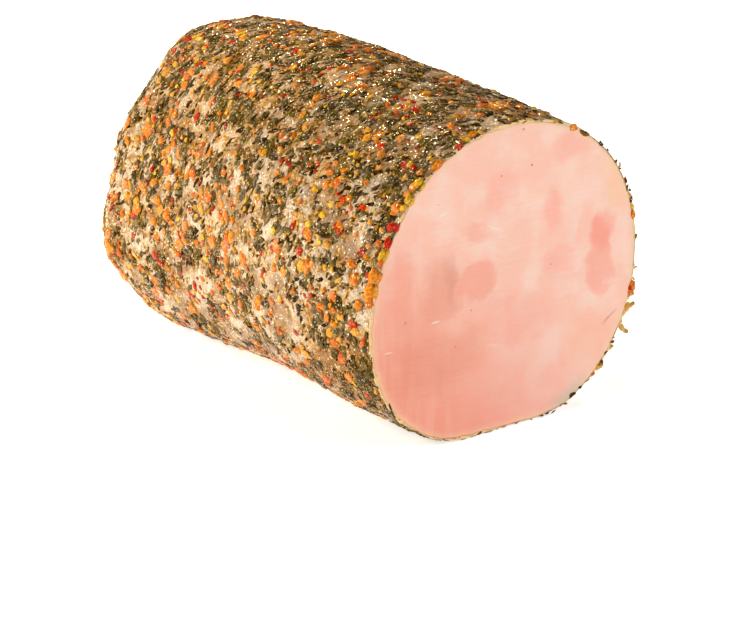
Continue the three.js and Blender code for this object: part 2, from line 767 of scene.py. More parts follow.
    def finish(self, colour: Any, normal: Any, wet: Wetness) -> bpy.types.Material:
        """Closes the graph with its shader.

        Args:
            colour: The base colour.
            normal: The bumped normal.
            wet: How it takes the light.

        Returns:
            The material.
        """
        shader = self.node(
            "ShaderNodeBsdfPrincipled",
            {"subsurface_method": "RANDOM_WALK"},
            {
                "Base Color": colour,
                "Normal": normal,
                "Roughness": wet.roughness,
                "IOR": wet.index,
                "Coat Weight": wet.film,
                "Coat Roughness": wet.film_roughness,
                "Subsurface Weight": wet.depth,
                "Subsurface Radius": (1.0, 0.45, 0.3),
                "Subsurface Scale": wet.depth_scale,
            },
        )
        self.node("ShaderNodeOutputMaterial", {}, {0: shader.outputs[0]})
        return self.material


@dataclass(frozen=True)
class MusclePatch:
    """A darker or paler piece of muscle in the cut: an ellipse, by its half sizes, with a soft edge."""

    x: float
    z: float
    width: float
    height: float
    lean_deg: float
    colour: Colour
    strength: float
    edge: float = 0.25


@dataclass(frozen=True)
class CutMeat:
    """Finish of the meat: pale cured pink with soft clouds, darker muscle and faint upright streaks."""

    base: Colour = paint(255, 197, 179)
    pale: Colour = paint(255, 212, 197)
    # Painted shade: the darker, more orange pink that the face takes towards its lower left.
    deep: Colour = paint(240, 148, 122)
    rim: Colour = paint(255, 204, 162)
    jelly: Colour = paint(206, 196, 172)
    speck: Colour = paint(196, 118, 84)
    waver: float = 15 * MM
    patches: tuple[MusclePatch, ...] = (
        MusclePatch(49.8 * MM, 63.5 * MM, 7.2 * MM, 16.6 * MM, 2, paint(255, 164, 144), 0.62, 0.4),
        MusclePatch(51.5 * MM, 74 * MM, 5.4 * MM, 10 * MM, -12, paint(252, 148, 132), 0.55, 0.8),
        MusclePatch(25.5 * MM, 88.5 * MM, 6.2 * MM, 9.5 * MM, 8, paint(255, 166, 148), 0.5, 0.8),
        MusclePatch(-31.5 * MM, 66 * MM, 9.5 * MM, 13 * MM, -6, paint(232, 150, 126), 0.55, 0.7),
        MusclePatch(-27.5 * MM, 72 * MM, 3.5 * MM, 11 * MM, 6, paint(216, 142, 116), 0.35, 0.9),
        MusclePatch(-13.5 * MM, 66 * MM, 9.0 * MM, 8.4 * MM, 8, paint(246, 156, 134), 0.6, 0.5),
        MusclePatch(-2.5 * MM, 103 * MM, 7.5 * MM, 8.0 * MM, 0, paint(255, 172, 156), 0.5, 0.9),
        MusclePatch(34 * MM, 115 * MM, 8.5 * MM, 6.0 * MM, 10, paint(255, 172, 152), 0.5, 0.9),
        MusclePatch(-14 * MM, 86.5 * MM, 7.5 * MM, 3.2 * MM, -20, paint(252, 166, 146), 0.55, 0.9),
        MusclePatch(29 * MM, 67 * MM, 8 * MM, 5.5 * MM, 0, paint(255, 170, 152), 0.45, 0.9),
        MusclePatch(-52 * MM, 70 * MM, 6.0 * MM, 17 * MM, 0, paint(244, 152, 128), 0.5, 0.8),
        MusclePatch(-34 * MM, 36 * MM, 24 * MM, 12 * MM, 8, paint(230, 140, 114), 0.45, 0.9),
        MusclePatch(-46 * MM, 48 * MM, 12 * MM, 12 * MM, 0, paint(236, 148, 124), 0.4, 0.9),
        MusclePatch(8 * MM, 47 * MM, 18 * MM, 10 * MM, -10, paint(250, 162, 140), 0.4, 0.9),
        MusclePatch(46 * MM, 30 * MM, 14 * MM, 12 * MM, 30, paint(255, 176, 142), 0.45, 0.9),
        MusclePatch(58 * MM, 96 * MM, 8 * MM, 14 * MM, 20, paint(255, 200, 160), 0.5, 0.9),
    )
    marks: tuple[MusclePatch, ...] = (
        MusclePatch(-31.6 * MM, 98.3 * MM, 2.2 * MM, 0.32 * MM, 12, paint(255, 232, 218), 0.8, 0.6),
        MusclePatch(-5.5 * MM, 87.3 * MM, 2.6 * MM, 0.34 * MM, -26, paint(255, 232, 218), 0.8, 0.6),
        MusclePatch(-34.8 * MM, 53.8 * MM, 2.0 * MM, 0.34 * MM, 2, paint(255, 226, 208), 0.9, 0.6),
        MusclePatch(-58.0 * MM, 46.0 * MM, 2.2 * MM, 0.32 * MM, -4, paint(255, 222, 202), 0.7, 0.6),
        MusclePatch(55.8 * MM, 36.6 * MM, 4.4 * MM, 0.40 * MM, 30, paint(176, 100, 88), 0.38, 0.8),
        MusclePatch(54.2 * MM, 35.0 * MM, 2.4 * MM, 0.34 * MM, 38, paint(176, 100, 88), 0.3, 0.8),
        MusclePatch(13.0 * MM, 110.3 * MM, 0.6 * MM, 0.5 * MM, 0, paint(150, 84, 60), 0.6, 0.5),
        MusclePatch(8.6 * MM, 126.2 * MM, 0.6 * MM, 0.5 * MM, 0, paint(160, 90, 60), 0.6, 0.5),
        MusclePatch(-50.0 * MM, 57.0 * MM, 0.5 * MM, 0.7 * MM, 0, paint(200, 116, 96), 0.5, 0.5),
        MusclePatch(-4.7 * MM, 37.4 * MM, 4.6 * MM, 0.5 * MM, -14, paint(255, 206, 186), 0.5, 0.7),
    )

    def build(self) -> bpy.types.Material:
        """Makes the material: clouds, painted shade, streaks, patches of muscle, marks, the rim, and a few
        specks.

        The tint's red rises towards the edge of the face, and its green marks a pocket of clear jelly.
        """
        graph = Graph("cut_meat")
        x, _, z = graph.axes()
        waver_x = (graph.noise(12 * MM, 3) - 0.5) * self.waver
        waver_z = (graph.noise(11 * MM, 3, place=graph.stretched(1.0, 1.0, 1.3)) - 0.5) * self.waver
        # Painted shade: the face grows darker and more orange towards its lower left.
        painted_shade_low_left = (x * -0.9 + z * -1.0 + waver_x).step(-75 * MM, 30 * MM)
        colour = graph.blend(graph.noise(14 * MM, 4, 0.3).step(0.36, 0.66), self.base, self.pale)
        colour = graph.blend(painted_shade_low_left * 0.85, colour, self.deep)
        streaks = graph.noise(3.2 * MM, 3, place=graph.stretched(1.0, 1.0, 0.09))
        streak_zone = x.step(-8 * MM, -32 * MM)
        colour = graph.blend(streaks.step(0.42, 0.75) * (streak_zone * 0.14 + 0.05), colour, self.pale)
        for patch in self.patches:
            colour = self._dab(graph, colour, patch, x + waver_x, z + waver_z)
        for mark in self.marks:
            colour = self._dab(graph, colour, mark, x + waver_x * 0.12, z + waver_z * 0.12)
        near_edge, pocket, _, _ = graph.tint()
        colour = graph.blend(near_edge * 0.65, colour, self.rim)
        colour = graph.blend(pocket * 0.85, colour, self.jelly)
        distance, pick, _ = graph.cells(8 * MM)
        specks = distance.step(0.062, 0.045) * pick.step(0.62, 0.66)
        colour = graph.blend(specks * 0.8, colour, self.speck)
        grain = graph.noise(0.9 * MM, 2)
        ripples = graph.noise(5 * MM, 2, place=graph.stretched(0.35, 1.0, 2.6))
        normal = graph.bump(grain, 0.03 * MM, graph.bump(ripples, 0.16 * MM))
        wet = Wetness(roughness=0.5, film=0.12, film_roughness=0.3, depth=0.35, depth_scale=2.2 * MM)
        return graph.finish(colour, normal, wet)

    def _dab(self, graph: Graph, colour: Any, patch: MusclePatch, x: Value, z: Value) -> Any:
        """Lays one patch over the colour: an ellipse in the face's plane, turned by its lean.

        Args:
            graph: The material's nodes.
            colour: The colour so far.
            patch: The patch.
            x: Position across the face, with its waver.
            z: Height on the face, with its waver.

        Returns:
            The colour's socket.
        """
        cosine, sine = math.cos(math.radians(patch.lean_deg)), math.sin(math.radians(patch.lean_deg))
        across = ((x - patch.x) * cosine + (z - patch.z) * sine) * (1 / patch.width)
        up = ((z - patch.z) * cosine - (x - patch.x) * sine) * (1 / patch.height)
        inside = (across * across + up * up).step(1 + patch.edge, 1 - patch.edge)
        return graph.blend(inside * patch.strength, colour, patch.colour)


@dataclass(frozen=True)
class Jelly:
    """Finish of the coat: milky jelly and painted sheen, pale bare places, blurred colours of sunken
    flakes.
    """

    face_y: float
    base: Colour = paint(211, 169, 118)
    dark: Colour = paint(148, 99, 24)
    bare: Colour = paint(234, 208, 184)
    # Milky jelly, which also stands in for a painted sheen of the pale floor and the soft front light.
    milk_and_sheen: Colour = paint(224, 208, 194)
    dim: Colour = paint(140, 88, 14)
    # Amber of the jelly, which low beside the cut is painted shadow.
    amber: Colour = paint(158, 100, 26)
    # Painted glints: the colour of the small pale dots that stand in for highlights on the wet jelly.
    painted_glint: Colour = paint(255, 242, 214)
    cream: Colour = paint(255, 217, 158)
    dust: Colour = paint(84, 54, 10)
    sunken: tuple[tuple[float, Colour], ...] = (
        (0.0, paint(108, 80, 30)),
        (0.26, paint(66, 40, 6)),
        (0.42, paint(140, 106, 40)),
        (0.54, paint(224, 130, 34)),
        (0.68, paint(184, 40, 10)),
        (0.73, paint(228, 174, 60)),
        (0.80, paint(240, 202, 152)),
    )

    def build(self) -> bpy.types.Material:
        """Makes the material: jelly, two sizes of sunken flakes, dust, painted glints, and the cream of the
        rim.

        The tint's red is how bare of herbs the place is; its green is how dark and amber, partly painted
        shadow.
        """
        graph = Graph("jelly_coat")
        bareness, depth, _, _ = graph.tint()
        colour = self._clear(graph, bareness, depth)
        colour = self._with_sunken(graph, colour, bareness)
        dust = graph.noise(1.1 * MM, 3, 0.6).step(0.58, 0.66)
        colour = graph.blend(dust * 0.5, colour, self.dust)
        # Painted glints: small pale dots in the colour, standing in for highlights on the wet jelly.
        glint_dot, chosen, _ = graph.cells(1.3 * MM)
        colour = graph.blend(glint_dot.step(0.34, 0.22) * chosen.step(0.36, 0.32), colour, self.painted_glint)
        at_cut = graph.axes()[1].step(self.face_y + 0.5 * MM, self.face_y + 0.2 * MM)
        creamy = graph.noise(2.2 * MM, 3, 0.3).step(0.28, 0.46)
        colour = graph.blend(at_cut * creamy * 0.95, colour, self.cream)
        wrinkles = graph.noise(3.0 * MM, 2, 0.3)
        normal = graph.bump(wrinkles, 0.3 * MM, graph.bump(graph.facets(0.75 * MM, 0.76), 1.0))
        wet = Wetness(roughness=0.1, index=1.2, depth=0.08, depth_scale=1.0 * MM)
        return graph.finish(colour, normal, wet)

    def _clear(self, graph: Graph, bareness: Value, depth: Value) -> Any:
        """Colours the jelly before anything lies in it: mottled, with bare, milky, amber and dim places.

        Args:
            graph: The material's nodes.
            bareness: How bare of herbs the place is.
            depth: How dark and amber the jelly is, partly as painted shadow.

        Returns:
            The colour's socket.
        """
        mottle = graph.noise(1.8 * MM, 4, 0.4).step(0.34, 0.56)
        colour = graph.blend(mottle, self.dark, self.base)
        colour = graph.blend(bareness * (0.4 + mottle * 0.4), colour, self.bare)
        # Milky patches, partly painted sheen of the pale floor and the soft front light.
        colour = graph.blend(graph.milky_sheen_patches(1 - depth) * 0.75, colour, self.milk_and_sheen)
        # Darker amber high up, and painted shadow low beside the cut.
        darkened_amber = depth * (graph.noise(3 * MM, 3, 0.3).step(0.3, 0.6) * 0.45 + 0.2)
        colour = graph.blend(darkened_amber, colour, self.amber)
        return graph.blend(graph.noise(15 * MM, 2).step(0.58, 0.40) * 0.6, colour, self.dim)

    def _with_sunken(self, graph: Graph, colour: Any, bareness: Value) -> Any:
        """Lays the blurred colours of flakes that lie deep in the jelly over it, large ones and small ones.

        Args:
            graph: The material's nodes.
            colour: The colour so far.
            bareness: How bare of herbs the place is.

        Returns:
            The colour's socket.
        """
        bend = graph.noise(1.6 * MM, 2) * (1.6 * MM)
        warped = graph.node("ShaderNodeVectorMath", {"operation": "ADD"}, {0: graph.place, 1: bend})
        for cell, reach, strength in ((3.2 * MM, 0.5, 0.5), (1.5 * MM, 0.45, 0.35)):
            distance, pick, shade = graph.cells(cell, warped.outputs[0])
            sunk = graph.ramp(pick, self.sunken, hard=True)
            spread = distance.step(reach, reach * 0.55) * shade.step(0.1, 0.6)
            colour = graph.blend(spread * strength * (1 - bareness * 0.75), colour, sunk)
        return colour


@dataclass(frozen=True)
class FlakeFinish:
    """Finish of one kind of flake: its own colours, mottled, and the jelly that films over it."""

    name: str
    stops: tuple[tuple[float, Colour], ...]
    mottle: Colour
    mottle_share: float = 0.35
    torn: float = 0.85
    fleck: Colour = paint(150, 132, 76)
    fleck_share: float = 0.0
    film: Colour = paint(182, 134, 58)
    # The milky jelly over the flake and its share, which also stand in for a painted sheen.
    milk_and_sheen: Colour = paint(214, 190, 160)
    milky: float = 0.26
    # Painted glints: the colour of the small pale dots that stand in for highlights on the wet flake.
    painted_glint: Colour = paint(255, 238, 184)
    wet: Wetness = field(default_factory=Wetness)

    def build(self) -> bpy.types.Material:
        """Makes the material: the flake's own colours, the film, milky jelly with painted sheen, and
        painted glints.

        The tint's red picks the shade, its green is how deep the flake lies in the jelly, its blue rises to
        1 at the flake's rim, and its alpha is how pale the jelly is there.
        """
        graph = Graph(self.name)
        shade, sunk, edge, paleness = graph.tint()
        colour = graph.ramp(shade, self.stops)
        spots = graph.noise(1.0 * MM, 3, 0.5).step(0.46, 0.58)
        colour = graph.blend(spots * self.mottle_share, colour, self.mottle)
        flecks = graph.noise(1.1 * MM, 2, 0.5, graph.stretched(1.0, 1.3, 1.0)).step(0.56, 0.66)
        colour = graph.blend(flecks * self.fleck_share, colour, self.fleck)
        cloud = graph.noise(1.6 * MM, 3, 0.4).step(0.38, 0.66)
        torn = (edge * 0.8 + (graph.noise(0.95 * MM, 3, 0.5) - 0.5) * 2.2).step(0.74, 0.96)
        covered = (sunk * (cloud * 0.6 + 0.1)).above(torn * self.torn)
        colour = graph.blend(covered, colour, self.film)
        # Milky jelly over the flake, partly painted sheen.
        milky_sheen_patches = graph.milky_sheen_patches(paleness)
        colour = graph.blend(milky_sheen_patches * (cloud * 0.6 + 0.4) * self.milky, colour, self.milk_and_sheen)
        # Painted glints: small pale dots in the colour, standing in for highlights on the wet flake.
        glint_dot, chosen, _ = graph.cells(0.95 * MM)
        colour = graph.blend(glint_dot.step(0.36, 0.24) * chosen.step(0.24, 0.20) * 0.85, colour, self.painted_glint)
        normal = graph.bump(graph.facets(0.7 * MM, 0.76), 1.0)
        return graph.finish(colour, normal, self.wet)


# Flakes.


class Kind(Enum):
    """Kinds of flake in the coat."""

    PARSLEY = "parsley_leaf"
    HERB = "green_herb"
    CHARRED = "dark_herb"
    CARROT = "carrot"
    RED_PEPPER = "red_pepper"
    YELLOW_PEPPER = "yellow_pepper"
    ONION = "onion"
    DUST = "herb_dust"


@dataclass(frozen=True)
class Places:
    """Where flakes go: middles on the plain surface, and each one's two flat directions and outwards."""

    middle: np.ndarray
    first: np.ndarray
    second: np.ndarray
    outward: np.ndarray

    def __len__(self) -> int:
        """Number of places."""
        return len(self.middle)

    @property
    def mirrored(self) -> bool:
        """Whether the two flat directions and outwards make a left-handed frame."""
        return float(np.sum(np.cross(self.first, self.second) * self.outward)) < 0


@dataclass(frozen=True)
class FlakeForm:
    """Size and outline of one kind of flake: a ragged lens of rings between a crown and an underside.

    A bias is the power of a random share, so that small flakes and shallow ones are the most common.
    """

    length: tuple[float, float]
    slimness: tuple[float, float]
    thickness: tuple[float, float]
    corners: int = 8
    raggedness: float = 0.28
    curl: float = 0.10
    rings: tuple[tuple[float, float], ...] = ((0.55, 0.95), (1.0, 0.35))
    bury: float = 0.35
    spin_deg: tuple[float, float] = (0.0, 360.0)
    small_bias: float = 1.6
    shallow_bias: float = 1.5
    jitter: float = 0.3
    wobble: float = 0.12
    unevenness: float = 0.25
    tilt: float = 0.07
    seat: float = 0.25
    underside: float = 0.4

    def sliced(self) -> FlakeForm:
        """The same flake as a cut leaves it in the rim: thin, narrow, flat, and lying along the rim."""
        return replace(
            self,
            length=(self.length[0] * 0.8, self.length[1] * 0.7),
            slimness=(0.2, 0.45),
            thickness=(0.12 * MM, 0.24 * MM),
            curl=0.0,
            spin_deg=(-40.0, 40.0),
        )

    def grow(self, places: Places, wall: CoatWall | None, rng: np.random.Generator) -> Arrays:
        """Makes a flake at each place.

        It is sunk, turned and tilted by chance, curls up along its length, and follows the jelly's relief.

        Args:
            places: Where the flakes go.
            wall: The jelly whose relief they follow, or None on the flat cut.
            rng: Source of chance.

        Returns:
            Vertices, triangles and tints of all the flakes together.
        """
        count = len(places)
        local_x, local_y, local_z, length, width, crown = self._lenses(count, rng)
        sunk = self.bury * rng.random((count, 1)) ** self.shallow_bias
        tilt = rng.normal(0, self.tilt, (2, count, 1))
        curled = self.curl * rng.normal(0, 1, (count, 1)) * (local_x / length) ** 2 * length
        local_z = local_z + tilt[0] * local_x + tilt[1] * local_y + curled - (sunk + self.seat) * crown
        spin = np.radians(rng.uniform(*self.spin_deg, (count, 1)))
        first = local_x * np.cos(spin) - local_y * np.sin(spin)
        second = local_x * np.sin(spin) + local_y * np.cos(spin)
        base = (
            places.middle[:, None]
            + first[..., None] * places.first[:, None]
            + second[..., None] * places.second[:, None]
        )
        if wall is not None:
            local_z = local_z + wall.relief(base) - second**2 / (2 * wall.shape.mean_radius)
        vertices = base + local_z[..., None] * places.outward[:, None]
        edge = np.clip(np.hypot(local_x / length, local_y / width), 0, 1)
        tint = np.ones((*edge.shape, 4))
        tint[..., 0] = rng.random((count, 1))
        tint[..., 1] = sunk
        tint[..., 2] = edge
        if wall is not None:
            tint[..., 3] = 1 - wall.amber_and_shade(places.middle)[:, None]
        return self._joined(vertices, tint, places.mirrored)

    def _lenses(self, count: int, rng: np.random.Generator) -> tuple[np.ndarray, ...]:
        """Makes flat flakes round the origin, each as a crown, its rings, and an underside.

        A flake's corner j has the angle 2 pi (j + jitter) / corners and the reach 1 + raggedness * random.
        Ring i scales the outline by its first number, and stands at its second number times the thickness.

        Args:
            count: Number of flakes.
            rng: Source of chance.

        Returns:
            Positions along, across and over the flakes, of shape (count, points of a flake), and their half
            lengths, half widths and thicknesses, of shape (count, 1).
        """
        corners = self.corners
        skew = rng.random((count, 1, 1)) ** self.small_bias
        half_length = (self.length[0] + (self.length[1] - self.length[0]) * skew) / 2
        half_width = half_length * rng.uniform(*self.slimness, (count, 1, 1))
        thick = rng.uniform(*self.thickness, (count, 1, 1))
        shift = rng.uniform(-self.jitter, self.jitter, (count, 1, corners))
        turn = (np.arange(corners) + shift) * 2 * math.pi / corners
        reach = 1 + self.raggedness * rng.uniform(-1, 1, (count, 1, corners))
        scale = np.array([ring[0] for ring in self.rings])[None, :, None]
        level = np.array([ring[1] for ring in self.rings])[None, :, None]
        wobble = 1 + self.wobble * rng.uniform(-1, 1, (count, len(self.rings), corners))
        flat_x = half_length * reach * scale * wobble * np.cos(turn)
        flat_y = half_width * reach * scale * wobble * np.sin(turn)
        height = thick * level * (1 + self.unevenness * rng.uniform(-1, 1, flat_x.shape))
        length, width, crown = half_length[:, 0], half_width[:, 0], thick[:, 0]
        middle = np.zeros((count, 1))
        local_x = np.concatenate([middle, flat_x.reshape(count, -1), middle], axis=1)
        local_y = np.concatenate([middle, flat_y.reshape(count, -1), middle], axis=1)
        local_z = np.concatenate([crown, height.reshape(count, -1), -self.underside * crown], axis=1)
        return local_x, local_y, local_z, length, width, crown

    def _joined(self, vertices: np.ndarray, tint: np.ndarray, mirrored: bool) -> Arrays:
        """Joins flakes of equal make into one list of vertices, triangles and tints.

        Args:
            vertices: Positions, of shape (flakes, points of a flake, 3).
            tint: Tints, of shape (flakes, points of a flake, 4).
            mirrored: Whether the places mirror the flakes, so that the triangles run the other way round.

        Returns:
            Vertices, triangles and tints.
        """
        count, each = vertices.shape[:2]
        rings, corners = len(self.rings), self.corners
        one = np.concatenate(
            [
                fan_faces(0, 1, corners, True),
                ring_faces(rings, corners)[:, ::-1] + 1,
                fan_faces(each - 1, 1 + (rings - 1) * corners, corners, False),
            ]
        )
        if mirrored:
            one = one[:, ::-1]
        faces = (one[None] + np.arange(count)[:, None, None] * each).reshape(-1, 3)
        return vertices.reshape(-1, 3), faces, tint.reshape(-1, 4)


@dataclass(frozen=True)
class FlakeRecipe:
    """One kind of flake: how many lie in the coat and in the cut rim, their shape, and their finish.

    They clump in cells of clump_cell, shun bare places by their shyness, and lie thicker high up by climb.
    """

    kind: Kind
    in_coat: int
    in_rim: int
    form: FlakeForm
    finish: FlakeFinish
    clumping: float = 0.6
    clump_cell: float = 9 * MM
    shyness: float = 0.9
    climb: float = 0.0
    clump_seed: int = 131
    seed: int = 1


def recipes() -> tuple[FlakeRecipe, ...]:
    """The recipe of every kind of flake."""
    return (*herb_recipes(), *vegetable_recipes(), dust_recipe())


def herb_recipes() -> tuple[FlakeRecipe, ...]:
    """Thin leaves and cut stalks that lie across the roll, clump together and shun the bare places."""
    across = (0.0, 100.0)
    together = {"clumping": 0.85, "clump_cell": 6 * MM}
    return (
        FlakeRecipe(
            Kind.PARSLEY,
            in_coat=5300,
            in_rim=6,
            form=FlakeForm(
                length=(2.4 * MM, 7.6 * MM),
                slimness=(0.4, 0.85),
                thickness=(0.2 * MM, 0.5 * MM),
                corners=9,
                raggedness=0.42,
                curl=0.06,
                rings=((0.78, 1.0), (1.0, 0.15)),
                bury=0.75,
                spin_deg=across,
            ),
            finish=FlakeFinish(
                name="parsley_leaf",
                stops=(
                    (0.0, paint(30, 20, 0)),
                    (0.4, paint(58, 44, 0)),
                    (0.75, paint(98, 78, 12)),
                    (1.0, paint(142, 116, 48)),
                ),
                mottle=paint(30, 18, 0),
                mottle_share=0.5,
                torn=0.35,
                fleck=paint(140, 124, 66),
                fleck_share=0.4,
                wet=LEAF_WET,
            ),
            climb=0.5,
            seed=31,
            **together,
        ),
        FlakeRecipe(
            Kind.HERB,
            in_coat=6900,
            in_rim=12,
            form=FlakeForm(
                length=(1.7 * MM, 5.4 * MM),
                slimness=(0.2, 0.52),
                thickness=(0.2 * MM, 0.45 * MM),
                corners=7,
                raggedness=0.4,
                curl=0.06,
                rings=((0.75, 1.0), (1.0, 0.15)),
                bury=0.75,
                spin_deg=across,
            ),
            finish=FlakeFinish(
                name="green_herb",
                stops=(
                    (0.0, paint(38, 18, 0)),
                    (0.4, paint(78, 46, 0)),
                    (0.75, paint(124, 80, 6)),
                    (1.0, paint(162, 118, 40)),
                ),
                mottle=paint(42, 20, 0),
                mottle_share=0.5,
                torn=0.35,
                fleck=paint(172, 136, 58),
                fleck_share=0.35,
                wet=LEAF_WET,
            ),
            climb=0.5,
            seed=32,
            **together,
        ),
        FlakeRecipe(
            Kind.CHARRED,
            in_coat=4500,
            in_rim=5,
            form=FlakeForm(
                length=(1.8 * MM, 6.0 * MM),
                slimness=(0.28, 0.54),
                thickness=(0.16 * MM, 0.36 * MM),
                corners=6,
                raggedness=0.4,
                curl=0.06,
                rings=((0.7, 1.0), (1.0, 0.15)),
                bury=0.3,
                spin_deg=(10.0, 90.0),
            ),
            finish=FlakeFinish(
                name="dark_herb",
                stops=((0.0, paint(16, 6, 0)), (0.5, paint(34, 16, 0)), (1.0, paint(60, 36, 2))),
                mottle=paint(14, 4, 0),
                torn=0.12,
                milky=0.1,
                wet=Wetness(roughness=0.3, index=1.07),
            ),
            climb=2.0,
            seed=33,
            **together,
        ),
    )


def vegetable_recipes() -> tuple[FlakeRecipe, ...]:
    """Thick rounded bits that lie at any angle, also in the bare places."""
    return (
        FlakeRecipe(
            Kind.CARROT,
            in_coat=1150,
            in_rim=2,
            form=FlakeForm(
                length=(3.2 * MM, 7.2 * MM),
                slimness=(0.65, 1.0),
                thickness=(0.8 * MM, 1.4 * MM),
                raggedness=0.24,
                curl=0.03,
                rings=((0.45, 0.96), (0.8, 0.72), (1.0, 0.2)),
                bury=0.3,
            ),
            finish=FlakeFinish(
                name="carrot",
                stops=(
                    (0.0, paint(214, 88, 0)),
                    (0.3, paint(238, 122, 4)),
                    (0.75, paint(248, 150, 14)),
                    (1.0, paint(248, 180, 50)),
                ),
                mottle=paint(184, 76, 0),
                mottle_share=0.55,
                torn=0.6,
                fleck=paint(250, 190, 104),
                fleck_share=0.45,
                wet=BIT_WET,
            ),
            shyness=0.3,
            climb=-0.35,
            clump_seed=134,
            seed=34,
        ),
        FlakeRecipe(
            Kind.RED_PEPPER,
            in_coat=620,
            in_rim=2,
            form=FlakeForm(
                length=(2.4 * MM, 6.4 * MM),
                slimness=(0.45, 0.9),
                thickness=(0.4 * MM, 0.8 * MM),
                corners=7,
                raggedness=0.3,
                curl=0.05,
                rings=((0.55, 0.92), (1.0, 0.3)),
                bury=0.25,
            ),
            finish=FlakeFinish(
                name="red_pepper",
                stops=((0.0, paint(140, 5, 0)), (0.5, paint(202, 18, 1)), (1.0, paint(232, 56, 10))),
                mottle=paint(140, 6, 0),
                fleck=paint(240, 110, 60),
                fleck_share=0.3,
                milky=0.14,
                wet=BIT_WET,
            ),
            shyness=0.3,
            clump_seed=135,
            seed=35,
        ),
        FlakeRecipe(
            Kind.YELLOW_PEPPER,
            in_coat=950,
            in_rim=6,
            form=FlakeForm(
                length=(2.2 * MM, 5.6 * MM),
                slimness=(0.55, 0.95),
                thickness=(0.5 * MM, 0.9 * MM),
                corners=7,
                curl=0.04,
                rings=((0.5, 0.94), (1.0, 0.3)),
            ),
            finish=FlakeFinish(
                name="yellow_pepper",
                stops=((0.0, paint(186, 116, 4)), (0.5, paint(232, 166, 16)), (1.0, paint(252, 204, 60))),
                mottle=paint(176, 112, 6),
                fleck=paint(252, 222, 120),
                fleck_share=0.4,
                wet=BIT_WET,
            ),
            shyness=0.3,
            climb=-0.35,
            clump_seed=136,
            seed=36,
        ),
        FlakeRecipe(
            Kind.ONION,
            in_coat=1200,
            in_rim=18,
            form=FlakeForm(
                length=(1.4 * MM, 4.2 * MM),
                slimness=(0.45, 0.9),
                thickness=(0.25 * MM, 0.5 * MM),
                corners=7,
                curl=0.04,
                rings=((0.5, 0.94), (1.0, 0.3)),
                bury=0.5,
            ),
            finish=FlakeFinish(
                name="onion",
                stops=(
                    (0.0, paint(214, 170, 116)),
                    (0.5, paint(226, 190, 146)),
                    (1.0, paint(244, 218, 182)),
                ),
                mottle=paint(204, 162, 112),
                wet=BIT_WET,
            ),
            shyness=0.0,
            clump_seed=137,
            seed=37,
        ),
    )


def dust_recipe() -> FlakeRecipe:
    """The fine crumbs of all the herbs, with a few of carrot."""
    return FlakeRecipe(
        Kind.DUST,
        in_coat=6500,
        in_rim=0,
        form=FlakeForm(
            length=(0.5 * MM, 1.3 * MM),
            slimness=(0.4, 0.9),
            thickness=(0.2 * MM, 0.36 * MM),
            corners=5,
            raggedness=0.3,
            curl=0.0,
            rings=((1.0, 0.35),),
            bury=0.4,
        ),
        finish=FlakeFinish(
            name="herb_dust",
            stops=(
                (0.0, paint(30, 14, 1)),
                (0.5, paint(84, 56, 10)),
                (0.85, paint(134, 96, 30)),
                (1.0, paint(214, 104, 14)),
            ),
            mottle=paint(50, 32, 8),
            wet=LEAF_WET,
        ),
        clumping=0.3,
        clump_cell=4 * MM,
        shyness=0.4,
        seed=38,
    )


# The roll's layers.


